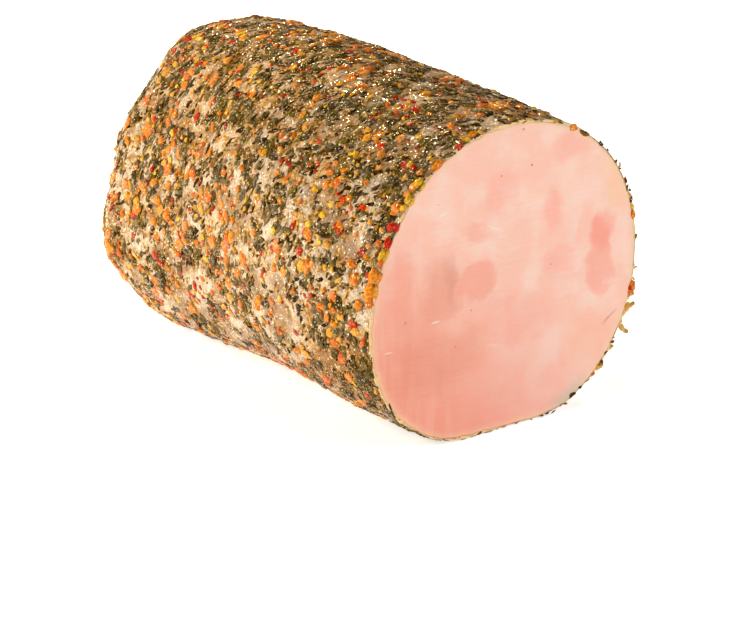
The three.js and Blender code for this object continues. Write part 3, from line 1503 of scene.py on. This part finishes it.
@dataclass(frozen=True)
class MeatCore:
    """The pressed meat: a flat cut face and a side that stays inside the jelly."""

    shape: RollShape
    wall: CoatWall
    around: int = 288
    face_rings: int = 70
    side_rings: int = 24
    overlap: float = 0.35 * MM
    side_depth: float = 2.4 * MM
    side_start: float = 2 * MM
    side_end: float = 4 * MM
    recess: float = 0.08 * MM
    bulge: float = 0.14 * MM
    waves: Layers = ((26 * MM, 1.0, 41), (9 * MM, 0.35, 42))
    edge_drop: float = 0.16 * MM
    edge_drop_share: tuple[float, float] = (0.992, 1.0)
    rim_reach: float = 5.0 * MM
    pocket_deg: float = -59
    pocket_spread_deg: float = 15
    pocket_inset: tuple[float, float] = (8 * MM, 1 * MM)

    def build(self) -> bpy.types.Object:
        """Makes the meat as one chain of rings from the middle of the face to the tip of the rounded end.

        Returns:
            The piece.
        """
        angle = np.arange(self.around) / self.around * 2 * math.pi
        middle = self.shape.place(np.zeros(1), np.zeros(1), np.zeros(1))
        share = (np.arange(1, self.face_rings + 1) / self.face_rings)[:, None, None]
        edge = self._edge(angle)
        face = self._face(share, edge, middle)
        side = self._side(angle)
        pole = self.shape.surface(np.zeros(1), np.array([self.shape.run_to_pole]))
        tip = pole - [[0, self.side_depth, 0]]
        middle[:, 1] = face[0, :, 1].mean()
        rings = np.concatenate([face, side]).reshape(-1, 3)
        vertices = np.concatenate([middle, rings, tip])
        count = self.face_rings + self.side_rings
        faces = np.concatenate(
            [
                fan_faces(0, 1, self.around, True),
                ring_faces(count, self.around)[:, ::-1] + 1,
                fan_faces(len(vertices) - 1, 1 + (count - 1) * self.around, self.around, False),
            ]
        )
        tint = self._tint(angle, share, edge, middle, count)
        return make_piece("meat", vertices, faces, CutMeat().build(), tint)

    def _edge(self, angle: np.ndarray) -> np.ndarray:
        """Edge of the face: the surface at the cut, moved in by the jelly's thickness less the overlap."""
        start = np.zeros(self.around)
        rim = self.shape.surface(angle, start)
        _, _, outward = self.shape.directions(angle, start)
        depth = self.wall.thickness_at(rim) - self.overlap
        return rim - depth[:, None] * outward

    def _face(self, share: np.ndarray, edge: np.ndarray, middle: np.ndarray) -> np.ndarray:
        """Makes the rings of the face, which rises and falls a little and drops at its edge.

        Args:
            share: How far each ring lies from the middle to the edge, of shape (rings, 1, 1).
            edge: The edge of the face.
            middle: The middle of the face.

        Returns:
            The rings, of shape (rings, around, 3).
        """
        face = middle + share * (edge - middle)
        drop = self.edge_drop * smooth_step(*self.edge_drop_share, share[..., 0])
        face[..., 1] = self.shape.shift[1] + self.recess + self.bulge * layered(self.waves, face) + drop
        return face

    def _side(self, angle: np.ndarray) -> np.ndarray:
        """Makes the rings of the side, which follows the surface from inside at side_depth."""
        run = np.linspace(self.side_start, self.shape.run_to_pole - self.side_end, self.side_rings)
        angles, runs = np.meshgrid(angle, run)
        _, _, outward = self.shape.directions(angles, runs)
        side = self.shape.surface(angles, runs) - self.side_depth * outward
        side[..., 2] = np.maximum(side[..., 2], self.side_depth)
        return side

    def _tint(
        self, angle: np.ndarray, share: np.ndarray, edge: np.ndarray, middle: np.ndarray, rings: int
    ) -> np.ndarray:
        """Works out the tint: red rises towards the edge, and green marks a pocket of clear jelly.

        Args:
            angle: Angles of the rings' points.
            share: How far out each ring of the face is.
            edge: The edge of the face.
            middle: The middle of the face.
            rings: Number of rings, with those of the side.

        Returns:
            The tint of each vertex, of shape (2 + rings * around, 4).
        """
        inset = (1 - share[..., 0]) * np.linalg.norm(edge - middle, axis=-1)
        beside = np.abs((angle - math.radians(self.pocket_deg) + math.pi) % (2 * math.pi) - math.pi)
        tint = np.ones((rings, self.around, 4))
        tint[: self.face_rings, :, 0] = smooth_step(self.rim_reach, 0.0, inset) ** 2
        reach = smooth_step(math.radians(self.pocket_spread_deg), 0.0, beside)
        tint[..., 1] = 0.0
        tint[: self.face_rings, :, 1] = smooth_step(*self.pocket_inset, inset) * reach
        ends = np.array([[0.0, 0.0, 1.0, 1.0]])
        return np.concatenate([ends, tint.reshape(-1, 4), ends])


@dataclass(frozen=True)
class JellyCoat:
    """The coat: a closed shell with a lumpy skin, a rim at the cut, and a plain inner wall."""

    shape: RollShape
    wall: CoatWall
    around: int = 512
    skin_rings: int = 170
    rim_rings: int = 4
    inner_rings: int = 8
    tip_gap: float = 1.5 * MM
    corner: float = 0.3 * MM
    corner_turns: tuple[float, ...] = (0.35, 0.7, 1.0)
    rim_start: float = 0.3
    rim_waver: SoftNoise = SoftNoise(1.8 * MM, 51)
    rim_swing: float = 0.1 * MM
    rim_recess: float = 0.05 * MM
    inner_start: float = 1.2 * MM
    inner_end: float = 3 * MM
    foot: float = 0.1 * MM

    def build(self) -> bpy.types.Object:
        """Makes the coat as one chain of rings: the skin, the corner, the rim and the inner wall.

        Returns:
            The piece.
        """
        angle = np.arange(self.around) / self.around * 2 * math.pi
        edge = self.shape.surface(angle, np.zeros(self.around))
        thickness = self.wall.thickness_at(edge)
        rings = [*self._skin(angle), *self._rim(angle, edge, thickness), *self._inside(angle, thickness)]
        tips = self.shape.surface(np.zeros(1), np.array([self.shape.run_to_pole]))
        inner_tip = tips - [[0, self.wall.thickness, 0]]
        chain = np.concatenate(rings)
        chain[:, 2] = np.maximum(chain[:, 2], self.foot)
        vertices = np.concatenate([tips, chain, inner_tip])
        faces = np.concatenate(
            [
                fan_faces(0, 1, self.around, True)[:, ::-1],
                ring_faces(len(rings), self.around) + 1,
                fan_faces(len(vertices) - 1, 1 + (len(rings) - 1) * self.around, self.around, True),
            ]
        )
        tint = np.ones((len(vertices), 4))
        tint[:, 0] = self.wall.bareness(vertices)
        tint[:, 1] = self.wall.amber_and_shade(vertices)
        return make_piece("jelly", vertices, faces, Jelly(self.shape.shift[1]).build(), tint)

    def _skin(self, angle: np.ndarray) -> list[np.ndarray]:
        """Rings of the skin, from the rounded end to the cut: the surface moved out by the relief."""
        rings = []
        for run in np.linspace(self.shape.run_to_pole - self.tip_gap, self.corner, self.skin_rings):
            runs = np.full(self.around, run)
            points = self.shape.surface(angle, runs)
            _, _, outward = self.shape.directions(angle, runs)
            rings.append(points + self.wall.relief(points)[:, None] * outward)
        return rings

    def _rim(self, angle: np.ndarray, edge: np.ndarray, thickness: np.ndarray) -> list[np.ndarray]:
        """Makes the rings of the rounded corner and of the rim, which lies in the cut's plane.

        Args:
            angle: Angles round the axis.
            edge: The surface at the cut.
            thickness: Thickness of the jelly there.

        Returns:
            The rings, from the skin inwards.
        """
        _, _, outward = self.shape.directions(angle, np.zeros(self.around))
        relief = self.wall.relief(edge)
        rings = []
        for turn in self.corner_turns:
            inset = self.corner * (1 - math.cos(turn * math.pi / 2)) - relief
            ring = edge - inset[:, None] * outward
            ring[:, 1] = edge[:, 1] + self.corner * (1 - math.sin(turn * math.pi / 2))
            rings.append(ring)
        for share in np.linspace(self.rim_start, 1.0, self.rim_rings):
            inset = self.corner + (thickness - self.corner) * share
            ring = edge - inset[:, None] * outward
            ring[:, 1] += self.rim_swing * self.rim_waver.at(ring) + self.rim_recess
            rings.append(ring)
        return rings

    def _inside(self, angle: np.ndarray, thickness: np.ndarray) -> list[np.ndarray]:
        """Rings of the inner wall, from the cut to the rounded end, moved in by the jelly's thickness."""
        rings = []
        for run in np.linspace(self.inner_start, self.shape.run_to_pole - self.inner_end, self.inner_rings):
            runs = np.full(self.around, run)
            points = self.shape.surface(angle, runs)
            _, _, outward = self.shape.directions(angle, runs)
            rings.append(points - thickness[:, None] * outward)
        return rings


@dataclass(frozen=True)
class RimBit:
    """A larger flake that lies at the cut, on the skin beside it or in its plane.

    The run is its distance from the cut, and the lift is how far it is moved outwards. It is turned from
    the rim's own direction.
    """

    kind: Kind
    angle_deg: float
    length: float
    width: float
    thickness: float
    run: float = 0.0
    lift: float = 0.0
    turn_deg: float = 0.0
    shade: float = 0.6
    on_skin: bool = True


def skin_bits() -> tuple[RimBit, ...]:
    """The larger flakes on the skin beside the cut: vegetables down its left, and two leaves under them."""
    carrot, red, yellow, leaf = Kind.CARROT, Kind.RED_PEPPER, Kind.YELLOW_PEPPER, Kind.PARSLEY
    return (
        RimBit(carrot, 121, 6.8 * MM, 2.4 * MM, 1.4 * MM, 0.8 * MM, 0.5 * MM),
        RimBit(red, 111, 4.2 * MM, 2.0 * MM, 1.0 * MM, 0.7 * MM, 0.5 * MM),
        RimBit(carrot, 104, 4.8 * MM, 3.4 * MM, 1.4 * MM, 2.2 * MM, 0.4 * MM),
        RimBit(yellow, 101.5, 4.0 * MM, 2.6 * MM, 1.2 * MM, 1.0 * MM, 0.5 * MM, turn_deg=60),
        RimBit(yellow, 130, 5.4 * MM, 4.2 * MM, 1.9 * MM, 1.6 * MM, 0.5 * MM, turn_deg=30),
        RimBit(yellow, 136.5, 5.8 * MM, 4.4 * MM, 2.1 * MM, 1.2 * MM, 0.5 * MM),
        RimBit(yellow, 139.5, 3.8 * MM, 3.2 * MM, 1.6 * MM, 1.2 * MM, 0.5 * MM, turn_deg=80),
        RimBit(red, 147, 6.0 * MM, 4.4 * MM, 1.9 * MM, 1.6 * MM, 0.5 * MM, turn_deg=70),
        RimBit(red, 152.5, 5.6 * MM, 3.0 * MM, 1.7 * MM, 1.1 * MM, 0.5 * MM),
        RimBit(yellow, 157, 6.6 * MM, 3.6 * MM, 2.0 * MM, 1.0 * MM, 0.5 * MM),
        RimBit(carrot, 165, 6.6 * MM, 4.8 * MM, 2.1 * MM, 1.6 * MM, 0.5 * MM, turn_deg=20),
        RimBit(carrot, 170, 6.8 * MM, 4.6 * MM, 2.0 * MM, 1.6 * MM, 0.5 * MM),
        RimBit(carrot, 176, 4.8 * MM, 4.0 * MM, 1.4 * MM, 7.5 * MM, 0.4 * MM),
        RimBit(leaf, 186, 6.4 * MM, 2.8 * MM, 0.5 * MM, 2.0 * MM),
        RimBit(leaf, 199, 7.8 * MM, 3.4 * MM, 0.5 * MM, 2.4 * MM),
    )


def cut_bits() -> tuple[RimBit, ...]:
    """The larger flakes that the cut went through: the vegetables at its left, and herbs at its right."""
    carrot, red, yellow, herb = Kind.CARROT, Kind.RED_PEPPER, Kind.YELLOW_PEPPER, Kind.HERB
    bits = (
        RimBit(carrot, 121, 6.8 * MM, 1.9 * MM, 0.6 * MM, lift=-0.6 * MM, shade=0.4),
        RimBit(red, 111, 4.2 * MM, 1.6 * MM, 0.6 * MM, lift=-0.5 * MM, shade=0.5),
        RimBit(yellow, 130, 4.4 * MM, 3.0 * MM, 0.6 * MM, lift=-0.9 * MM, shade=0.8),
        RimBit(yellow, 136.5, 5.2 * MM, 3.4 * MM, 0.6 * MM, lift=-0.9 * MM, shade=0.7),
        RimBit(red, 147, 5.4 * MM, 3.2 * MM, 0.6 * MM, lift=-0.8 * MM, shade=0.6),
        RimBit(red, 152.5, 5.0 * MM, 2.4 * MM, 0.6 * MM, lift=-0.6 * MM, shade=0.5),
        RimBit(yellow, 157, 6.2 * MM, 2.7 * MM, 0.6 * MM, lift=-0.7 * MM, shade=0.5),
        RimBit(carrot, 165, 6.0 * MM, 3.0 * MM, 0.6 * MM, lift=-0.8 * MM, shade=0.6),
        RimBit(carrot, 170, 6.2 * MM, 2.9 * MM, 0.6 * MM, lift=-0.8 * MM, shade=0.9),
        RimBit(carrot, 61, 4.6 * MM, 3.2 * MM, 0.5 * MM, lift=-0.8 * MM, shade=0.5),
        RimBit(herb, 56, 5.6 * MM, 2.8 * MM, 0.5 * MM, lift=-0.7 * MM, turn_deg=12, shade=0.8),
        RimBit(herb, 47, 4.2 * MM, 1.7 * MM, 0.5 * MM, turn_deg=10, shade=0.2),
        RimBit(herb, 43, 2.0 * MM, 0.8 * MM, 0.4 * MM, lift=0.1 * MM, shade=0.1),
        RimBit(herb, 37, 1.6 * MM, 1.2 * MM, 0.4 * MM, lift=0.1 * MM, turn_deg=50, shade=0.3),
        RimBit(herb, 28, 2.8 * MM, 1.1 * MM, 0.4 * MM, lift=0.2 * MM, turn_deg=15, shade=0.1),
        RimBit(herb, 24, 1.8 * MM, 1.2 * MM, 0.4 * MM, lift=0.3 * MM, turn_deg=-20, shade=0.4),
        RimBit(herb, 20.5, 3.4 * MM, 1.5 * MM, 0.4 * MM, lift=0.1 * MM, turn_deg=8, shade=0.2),
        RimBit(yellow, 17.5, 3.4 * MM, 1.8 * MM, 0.5 * MM, lift=-0.2 * MM, shade=0.9),
        RimBit(carrot, 14.5, 4.8 * MM, 2.6 * MM, 0.5 * MM, lift=-0.4 * MM, shade=0.35),
        RimBit(carrot, -12.5, 6.8 * MM, 4.6 * MM, 0.6 * MM, shade=0.2),
        RimBit(red, -12.8, 4.2 * MM, 2.6 * MM, 0.9 * MM, lift=-0.3 * MM, shade=0.5),
        RimBit(yellow, -19, 4.6 * MM, 2.0 * MM, 0.5 * MM, lift=0.2 * MM, turn_deg=14, shade=0.3),
        RimBit(herb, -33, 2.4 * MM, 1.7 * MM, 0.4 * MM, lift=0.3 * MM, turn_deg=60),
        RimBit(herb, -41, 2.2 * MM, 1.4 * MM, 0.4 * MM, lift=0.4 * MM, turn_deg=-60),
        RimBit(herb, -53, 2.6 * MM, 1.5 * MM, 0.4 * MM, lift=-0.6 * MM, turn_deg=20, shade=0.3),
        RimBit(herb, -57.5, 6.5 * MM, 2.4 * MM, 0.5 * MM, lift=-0.9 * MM, turn_deg=12, shade=0.4),
    )
    return tuple(replace(bit, on_skin=False) for bit in bits)


def in_cut_plane(direction: np.ndarray) -> np.ndarray:
    """Lays a direction flat in the cut's plane, with a length of 1."""
    flat = direction * [1.0, 0.0, 1.0]
    return flat / math.hypot(flat[0], flat[2])


@dataclass(frozen=True)
class Shred:
    """A shred of the coat's skin that stands out from the cut rim and bends round in the cut's plane."""

    angle_deg: float
    reach: float
    width: float
    bend_deg: float
    start_deg: float = 0.0
    setback: float = 1.0 * MM
    rooted: float = 0.5 * MM
    taper: float = 0.4
    flatness: float = 0.7
    widths: tuple[float, float] = (0.65, 1.25)
    around: int = 10
    steps: int = 14

    def grow(self, shape: RollShape, rng: np.random.Generator) -> Arrays:
        """Makes the shred as a flattened, tapering tube round an arc.

        At a share t of its reach the arc heads start + bend * t away from straight out, and the half width
        is width / 2 * (1 - taper * t) with a little chance.

        Args:
            shape: The roll.
            rng: Source of chance.

        Returns:
            Its vertices, triangles and tints.
        """
        angle = np.array([math.radians(self.angle_deg)])
        root = self._root(shape, angle)
        _, around, outwards = shape.directions(angle, np.zeros(1))
        side, outward = in_cut_plane(around[0]), in_cut_plane(outwards[0])
        share = np.linspace(0, 1, self.steps)
        heading = np.radians(self.start_deg + self.bend_deg * share)
        step = self.reach / (self.steps - 1)
        out = np.concatenate([[0.0], np.cumsum(np.cos(heading[:-1]) * step)])
        across = np.concatenate([[0.0], np.cumsum(np.sin(heading[:-1]) * step)])
        middle = root + out[:, None] * outward + across[:, None] * side
        sideways = np.cos(heading)[:, None] * side - np.sin(heading)[:, None] * outward
        half = self.width / 2 * (1 - self.taper * share) * rng.uniform(*self.widths, self.steps)
        turn = np.arange(self.around) / self.around * 2 * math.pi
        flat = sideways[:, None] * np.cos(turn)[None, :, None]
        deep = np.array([0.0, self.flatness, 0.0]) * np.sin(turn)[None, :, None]
        rings = middle[:, None] + half[:, None, None] * (flat + deep)
        vertices = np.concatenate([middle[:1], rings.reshape(-1, 3), middle[-1:]])
        last = 1 + (self.steps - 1) * self.around
        faces = np.concatenate(
            [
                fan_faces(0, 1, self.around, True),
                ring_faces(self.steps, self.around)[:, ::-1] + 1,
                fan_faces(len(vertices) - 1, last, self.around, False),
            ]
        )
        shade = np.concatenate([[0.0], np.repeat(share, self.around), [1.0]])
        tint = np.ones((len(vertices), 4))
        tint[:, 0] = 1 - shade**4
        tint[:, 1] = 0.1
        tint[:, 2] = 0.0
        return vertices, faces, tint

    def _root(self, shape: RollShape, angle: np.ndarray) -> np.ndarray:
        """Where the shred starts: a little inside the rim, and set back from the cut."""
        run = np.array([self.setback])
        _, _, outward = shape.directions(angle, run)
        return (shape.surface(angle, run) - self.rooted * outward)[0]


@dataclass(frozen=True)
class RimShreds:
    """The shreds low on the right of the cut, in one piece."""

    shape: RollShape
    shreds: tuple[Shred, ...] = (
        Shred(-23, reach=8.0 * MM, width=2.9 * MM, bend_deg=-25, start_deg=62),
        Shred(-24, reach=9.0 * MM, width=2.7 * MM, bend_deg=78, start_deg=-72),
        Shred(-17, reach=4.4 * MM, width=2.6 * MM, bend_deg=-50, start_deg=60),
        Shred(-36, reach=3.6 * MM, width=2.4 * MM, bend_deg=50, start_deg=20),
        Shred(-44, reach=4.6 * MM, width=2.6 * MM, bend_deg=40, start_deg=30),
        Shred(-6, reach=3.0 * MM, width=1.2 * MM, bend_deg=40),
        Shred(-9, reach=3.0 * MM, width=1.2 * MM, bend_deg=-60),
        Shred(33, reach=3.0 * MM, width=1.2 * MM, bend_deg=50, start_deg=20),
    )

    def build(self) -> bpy.types.Object:
        """Makes the piece: yellowish at the roots and olive brown at the tips."""
        rng = np.random.default_rng(61)
        vertices, faces, tint = joined([shred.grow(self.shape, rng) for shred in self.shreds])
        finish = FlakeFinish(
            name="rim_shreds",
            stops=((0.0, paint(96, 66, 14)), (0.4, paint(196, 144, 44)), (1.0, paint(244, 190, 104))),
            mottle=paint(196, 134, 40),
            mottle_share=0.4,
            torn=0.0,
            wet=Wetness(roughness=0.3),
        )
        return make_piece("rim_shreds", vertices, faces, finish.build(), tint)


@dataclass(frozen=True)
class HerbCoat:
    """All the flakes that lie in the jelly and in its cut rim."""

    shape: RollShape
    wall: CoatWall
    press: float = 0.3 * MM
    proud: float = 0.25 * MM
    tip_gap: float = 1 * MM
    tries: int = 4
    share_kept: float = 0.5
    low_extra: float = 1.6
    right_thinning: float = 0.8
    climb_zone: tuple[float, float] = (85 * MM, 120 * MM)
    rim_right: tuple[float, float] = (-0.5, 0.3)
    rim_least: float = 0.1
    rim_inset: tuple[float, float] = (-0.35, 0.8)

    def build(self) -> list[bpy.types.Object]:
        """Makes one piece for each kind of flake, and returns them."""
        return [self._piece(recipe) for recipe in recipes()]

    def _piece(self, recipe: FlakeRecipe) -> bpy.types.Object:
        """Makes all the flakes of one kind."""
        rng = np.random.default_rng(recipe.seed)
        parts = [recipe.form.grow(self._over_coat(recipe, rng), self.wall, rng)]
        if recipe.in_rim:
            parts.append(recipe.form.sliced().grow(self._round_rim(recipe.in_rim, rng), None, rng))
        bits = [bit for bit in (*skin_bits(), *cut_bits()) if bit.kind is recipe.kind]
        parts.extend(self._rim_bit(recipe, bit, rng) for bit in bits)
        vertices, faces, tint = joined(parts)
        vertices[:, 1] = np.maximum(vertices[:, 1], self.shape.shift[1] - self.proud)
        vertices[:, 2] = pressed(vertices[:, 2], self.press)
        return make_piece(recipe.kind.value, vertices, faces, recipe.finish.build(), tint)

    def _over_coat(self, recipe: FlakeRecipe, rng: np.random.Generator) -> Places:
        """Scatters places evenly over the skin, then thins them by a soft noise so that they clump.

        Low on the left of the cut, kinds that shun bare places lie thicker, and the others thinner.

        Args:
            recipe: The kind of flake.
            rng: Source of chance.

        Returns:
            The places.
        """
        many = recipe.in_coat * self.tries
        angle = rng.uniform(0, 2 * math.pi, many)
        run = rng.uniform(0, self.shape.run_to_pole - self.tip_gap, many)
        keep = rng.random(many) < self.shape.share_out(run)
        angle, run = angle[keep], run[keep]
        points = self.shape.surface(angle, run)
        clumps = SoftNoise(recipe.clump_cell, recipe.clump_seed).at(points)
        crowd = self.share_kept + recipe.clumping * clumps
        crowd = crowd * (1 - recipe.shyness * self.wall.bareness(points))
        thicker = self.low_extra * (2 * recipe.shyness - 1) * self.wall.cut_low(points)
        crowd = crowd * (1 - self.right_thinning * self.wall.cut_right(points)) * (1 + thicker)
        crowd = crowd * (1 + recipe.climb * smooth_step(*self.climb_zone, points[..., 2]))
        chosen = np.flatnonzero(rng.random(len(points)) < crowd)[: recipe.in_coat]
        angle, run, points = angle[chosen], run[chosen], points[chosen]
        along, around, outward = self.shape.directions(angle, run)
        return Places(points, along, around, outward)

    def _round_rim(self, count: int, rng: np.random.Generator) -> Places:
        """Scatters places round the cut rim, most on its right, facing -Y and close to the coat's edge."""
        many = self.tries * count
        angle = rng.uniform(0, 2 * math.pi, many)
        on_right = smooth_step(*self.rim_right, np.cos(angle))
        crowd = self.rim_least + (1 - self.rim_least) * on_right
        angle = angle[rng.random(many) < crowd][:count]
        count = len(angle)
        edge = self.shape.surface(angle, np.zeros(count))
        _, around, outward = self.shape.directions(angle, np.zeros(count))
        inset = self.wall.thickness_at(edge) * rng.uniform(*self.rim_inset, count)
        facing = np.tile([0.0, -1.0, 0.0], (count, 1))
        return Places(edge - inset[:, None] * outward, around, outward, facing)

    def _rim_bit(self, recipe: FlakeRecipe, bit: RimBit, rng: np.random.Generator) -> Arrays:
        """Makes one flake from the list, on the skin beside the cut or in the cut's plane.

        Args:
            recipe: The kind of flake.
            bit: Where it lies and its size.
            rng: Source of chance.

        Returns:
            Its vertices, triangles and tints.
        """
        form = replace(
            recipe.form,
            length=(bit.length, bit.length),
            slimness=(bit.width / bit.length,) * 2,
            thickness=(bit.thickness,) * 2,
            curl=0.0,
            bury=0.0,
            spin_deg=(bit.turn_deg,) * 2,
        )
        angle = np.array([math.radians(bit.angle_deg)])
        run = np.array([bit.run])
        point = self.shape.surface(angle, run)
        along, around, outward = self.shape.directions(angle, run)
        point = point + bit.lift * outward
        if bit.on_skin:
            vertices, faces, tint = form.grow(Places(point, around, along, outward), self.wall, rng)
        else:
            facing = np.array([[0.0, -1.0, 0.0]])
            vertices, faces, tint = form.grow(Places(point, around, outward, facing), None, rng)
        tint[:, 0] = bit.shade
        tint[:, 3] = 0.0
        return vertices, faces, tint


def joined(parts: list[Arrays]) -> Arrays:
    """Joins lists of vertices, triangles and tints into one of each.

    Args:
        parts: The vertices, triangles and tints of each part.

    Returns:
        The vertices, triangles and tints of them all.
    """
    starts = np.cumsum([0] + [len(part[0]) for part in parts[:-1]])
    vertices = np.concatenate([part[0] for part in parts])
    faces = np.concatenate([part[1] + start for part, start in zip(parts, starts)])
    tint = np.concatenate([part[2] for part in parts])
    return vertices, faces, tint


# Studio.


@dataclass(frozen=True)
class Lamp:
    """A square soft light that faces a point."""

    name: str
    position: tuple[float, float, float]
    side: float
    power: float
    colour: tuple[float, float, float] = (1.0, 1.0, 1.0)


@dataclass(frozen=True)
class Studio:
    """A pale floor, soft lights and the camera."""

    azimuth_deg: float = -36.46
    elevation_deg: float = 20.47
    distance: float = 1.5306
    lens: float = 169.4
    target: tuple[float, float, float] = (16.3 * MM, 0.0, 15.0 * MM)
    aim: tuple[float, float, float] = (0.0, 0.0, 0.06)
    sky: float = 0.06
    floor_half: float = 6.0
    floor_gap: float = 0.3 * MM
    floor_glow: float = 0.6
    lamps: tuple[Lamp, ...] = (
        Lamp("key_left", (-1.5, -0.3, 0.9), 0.4, 9.6, (0.96, 0.97, 0.93)),
        Lamp("face_fill", (0.75, -1.6, 1.0), 1.0, 13.2),
    )
    sparkle_from: tuple[tuple[float, float, float], ...] = (
        (0.40, 0.75, 0.52),
        (0.00, 0.75, 0.62),
        (-0.52, 0.69, 0.42),
        (-0.68, 0.68, 0.16),
    )
    sparkle_distance: float = 1.5
    sparkle_side: float = 0.13
    sparkle_power: float = 10.0
    sparkle_colour: tuple[float, float, float] = (1.0, 0.87, 0.54)

    def build(self) -> None:
        """Makes the world, the floor, the lamps and the camera."""
        self._world()
        self._floor()
        for lamp in self.lamps:
            self._lamp(lamp)
        for number, direction in enumerate(self.sparkle_from):
            place = Vector(self.aim) + Vector(direction).normalized() * self.sparkle_distance
            name = f"sparkle_{number}"
            self._lamp(Lamp(name, tuple(place), self.sparkle_side, self.sparkle_power, self.sparkle_colour))
        self._camera()

    def _world(self) -> None:
        """Lights the scene evenly from all sides, and shows colours without a film curve."""
        scene = bpy.context.scene
        world = bpy.data.worlds.new("studio")
        world.use_nodes = True
        background = world.node_tree.nodes["Background"]
        background.inputs["Color"].default_value = (1.0, 1.0, 1.0, 1.0)
        background.inputs["Strength"].default_value = self.sky
        scene.world = world
        scene.view_settings.view_transform = "Standard"

    def _floor(self) -> None:
        """Lays a wide pale floor a hair below the roll."""
        half = self.floor_half
        corners = ((-half, -half), (half, -half), (half, half), (-half, half))
        mesh = bpy.data.meshes.new("floor")
        mesh.from_pydata([(x, y, -self.floor_gap) for x, y in corners], [], [(0, 1, 2, 3)])
        graph = Graph("floor")
        colour = graph.blend(graph.noise(0.5, 2), paint(250, 250, 250), paint(252, 252, 252))
        normal = graph.bump(graph.noise(2 * MM, 1), 0.001 * MM)
        material = graph.finish(colour, normal, Wetness(roughness=0.7))
        shader = material.node_tree.nodes["Principled BSDF"]
        shader.inputs["Emission Color"].default_value = (1.0, 1.0, 1.0, 1.0)
        shader.inputs["Emission Strength"].default_value = self.floor_glow
        mesh.materials.append(material)
        floor = bpy.data.objects.new("floor", mesh)
        bpy.context.collection.objects.link(floor)

    def _lamp(self, lamp: Lamp) -> None:
        """Hangs one lamp, turned to the roll."""
        data = bpy.data.lights.new(lamp.name, "AREA")
        data.shape = "SQUARE"
        data.size = lamp.side
        data.energy = lamp.power
        data.color = lamp.colour
        light = bpy.data.objects.new(lamp.name, data)
        light.location = lamp.position
        towards = Vector(self.aim) - Vector(lamp.position)
        light.rotation_euler = towards.to_track_quat("-Z", "Y").to_euler()
        bpy.context.collection.objects.link(light)

    def _camera(self) -> None:
        """Stands the camera back from its target, along its azimuth and elevation."""
        azimuth, elevation = math.radians(self.azimuth_deg), math.radians(self.elevation_deg)
        back = Vector(
            (
                math.sin(azimuth) * math.cos(elevation),
                -math.cos(azimuth) * math.cos(elevation),
                math.sin(elevation),
            )
        )
        data = bpy.data.cameras.new("camera")
        data.lens = self.lens
        data.sensor_width = 36.0
        data.clip_end = 50.0
        camera = bpy.data.objects.new("camera", data)
        camera.location = Vector(self.target) + back * self.distance
        camera.rotation_euler = back.to_track_quat("Z", "Y").to_euler()
        bpy.context.collection.objects.link(camera)
        bpy.context.scene.camera = camera


def main() -> None:
    """Builds the roll's layers and the studio."""
    logging.basicConfig(level=logging.INFO, format="%(name)s: %(message)s")
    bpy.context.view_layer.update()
    low, high = (np.array(corner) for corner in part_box(NODE))
    shape = RollShape().seated(low, high)
    wall = CoatWall(shape)
    meat = MeatCore(shape, wall).build()
    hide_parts(NODE)
    JellyCoat(shape, wall).build()
    HerbCoat(shape, wall).build()
    RimShreds(shape).build()
    Studio().build()


if __name__ == "__main__":
    main()
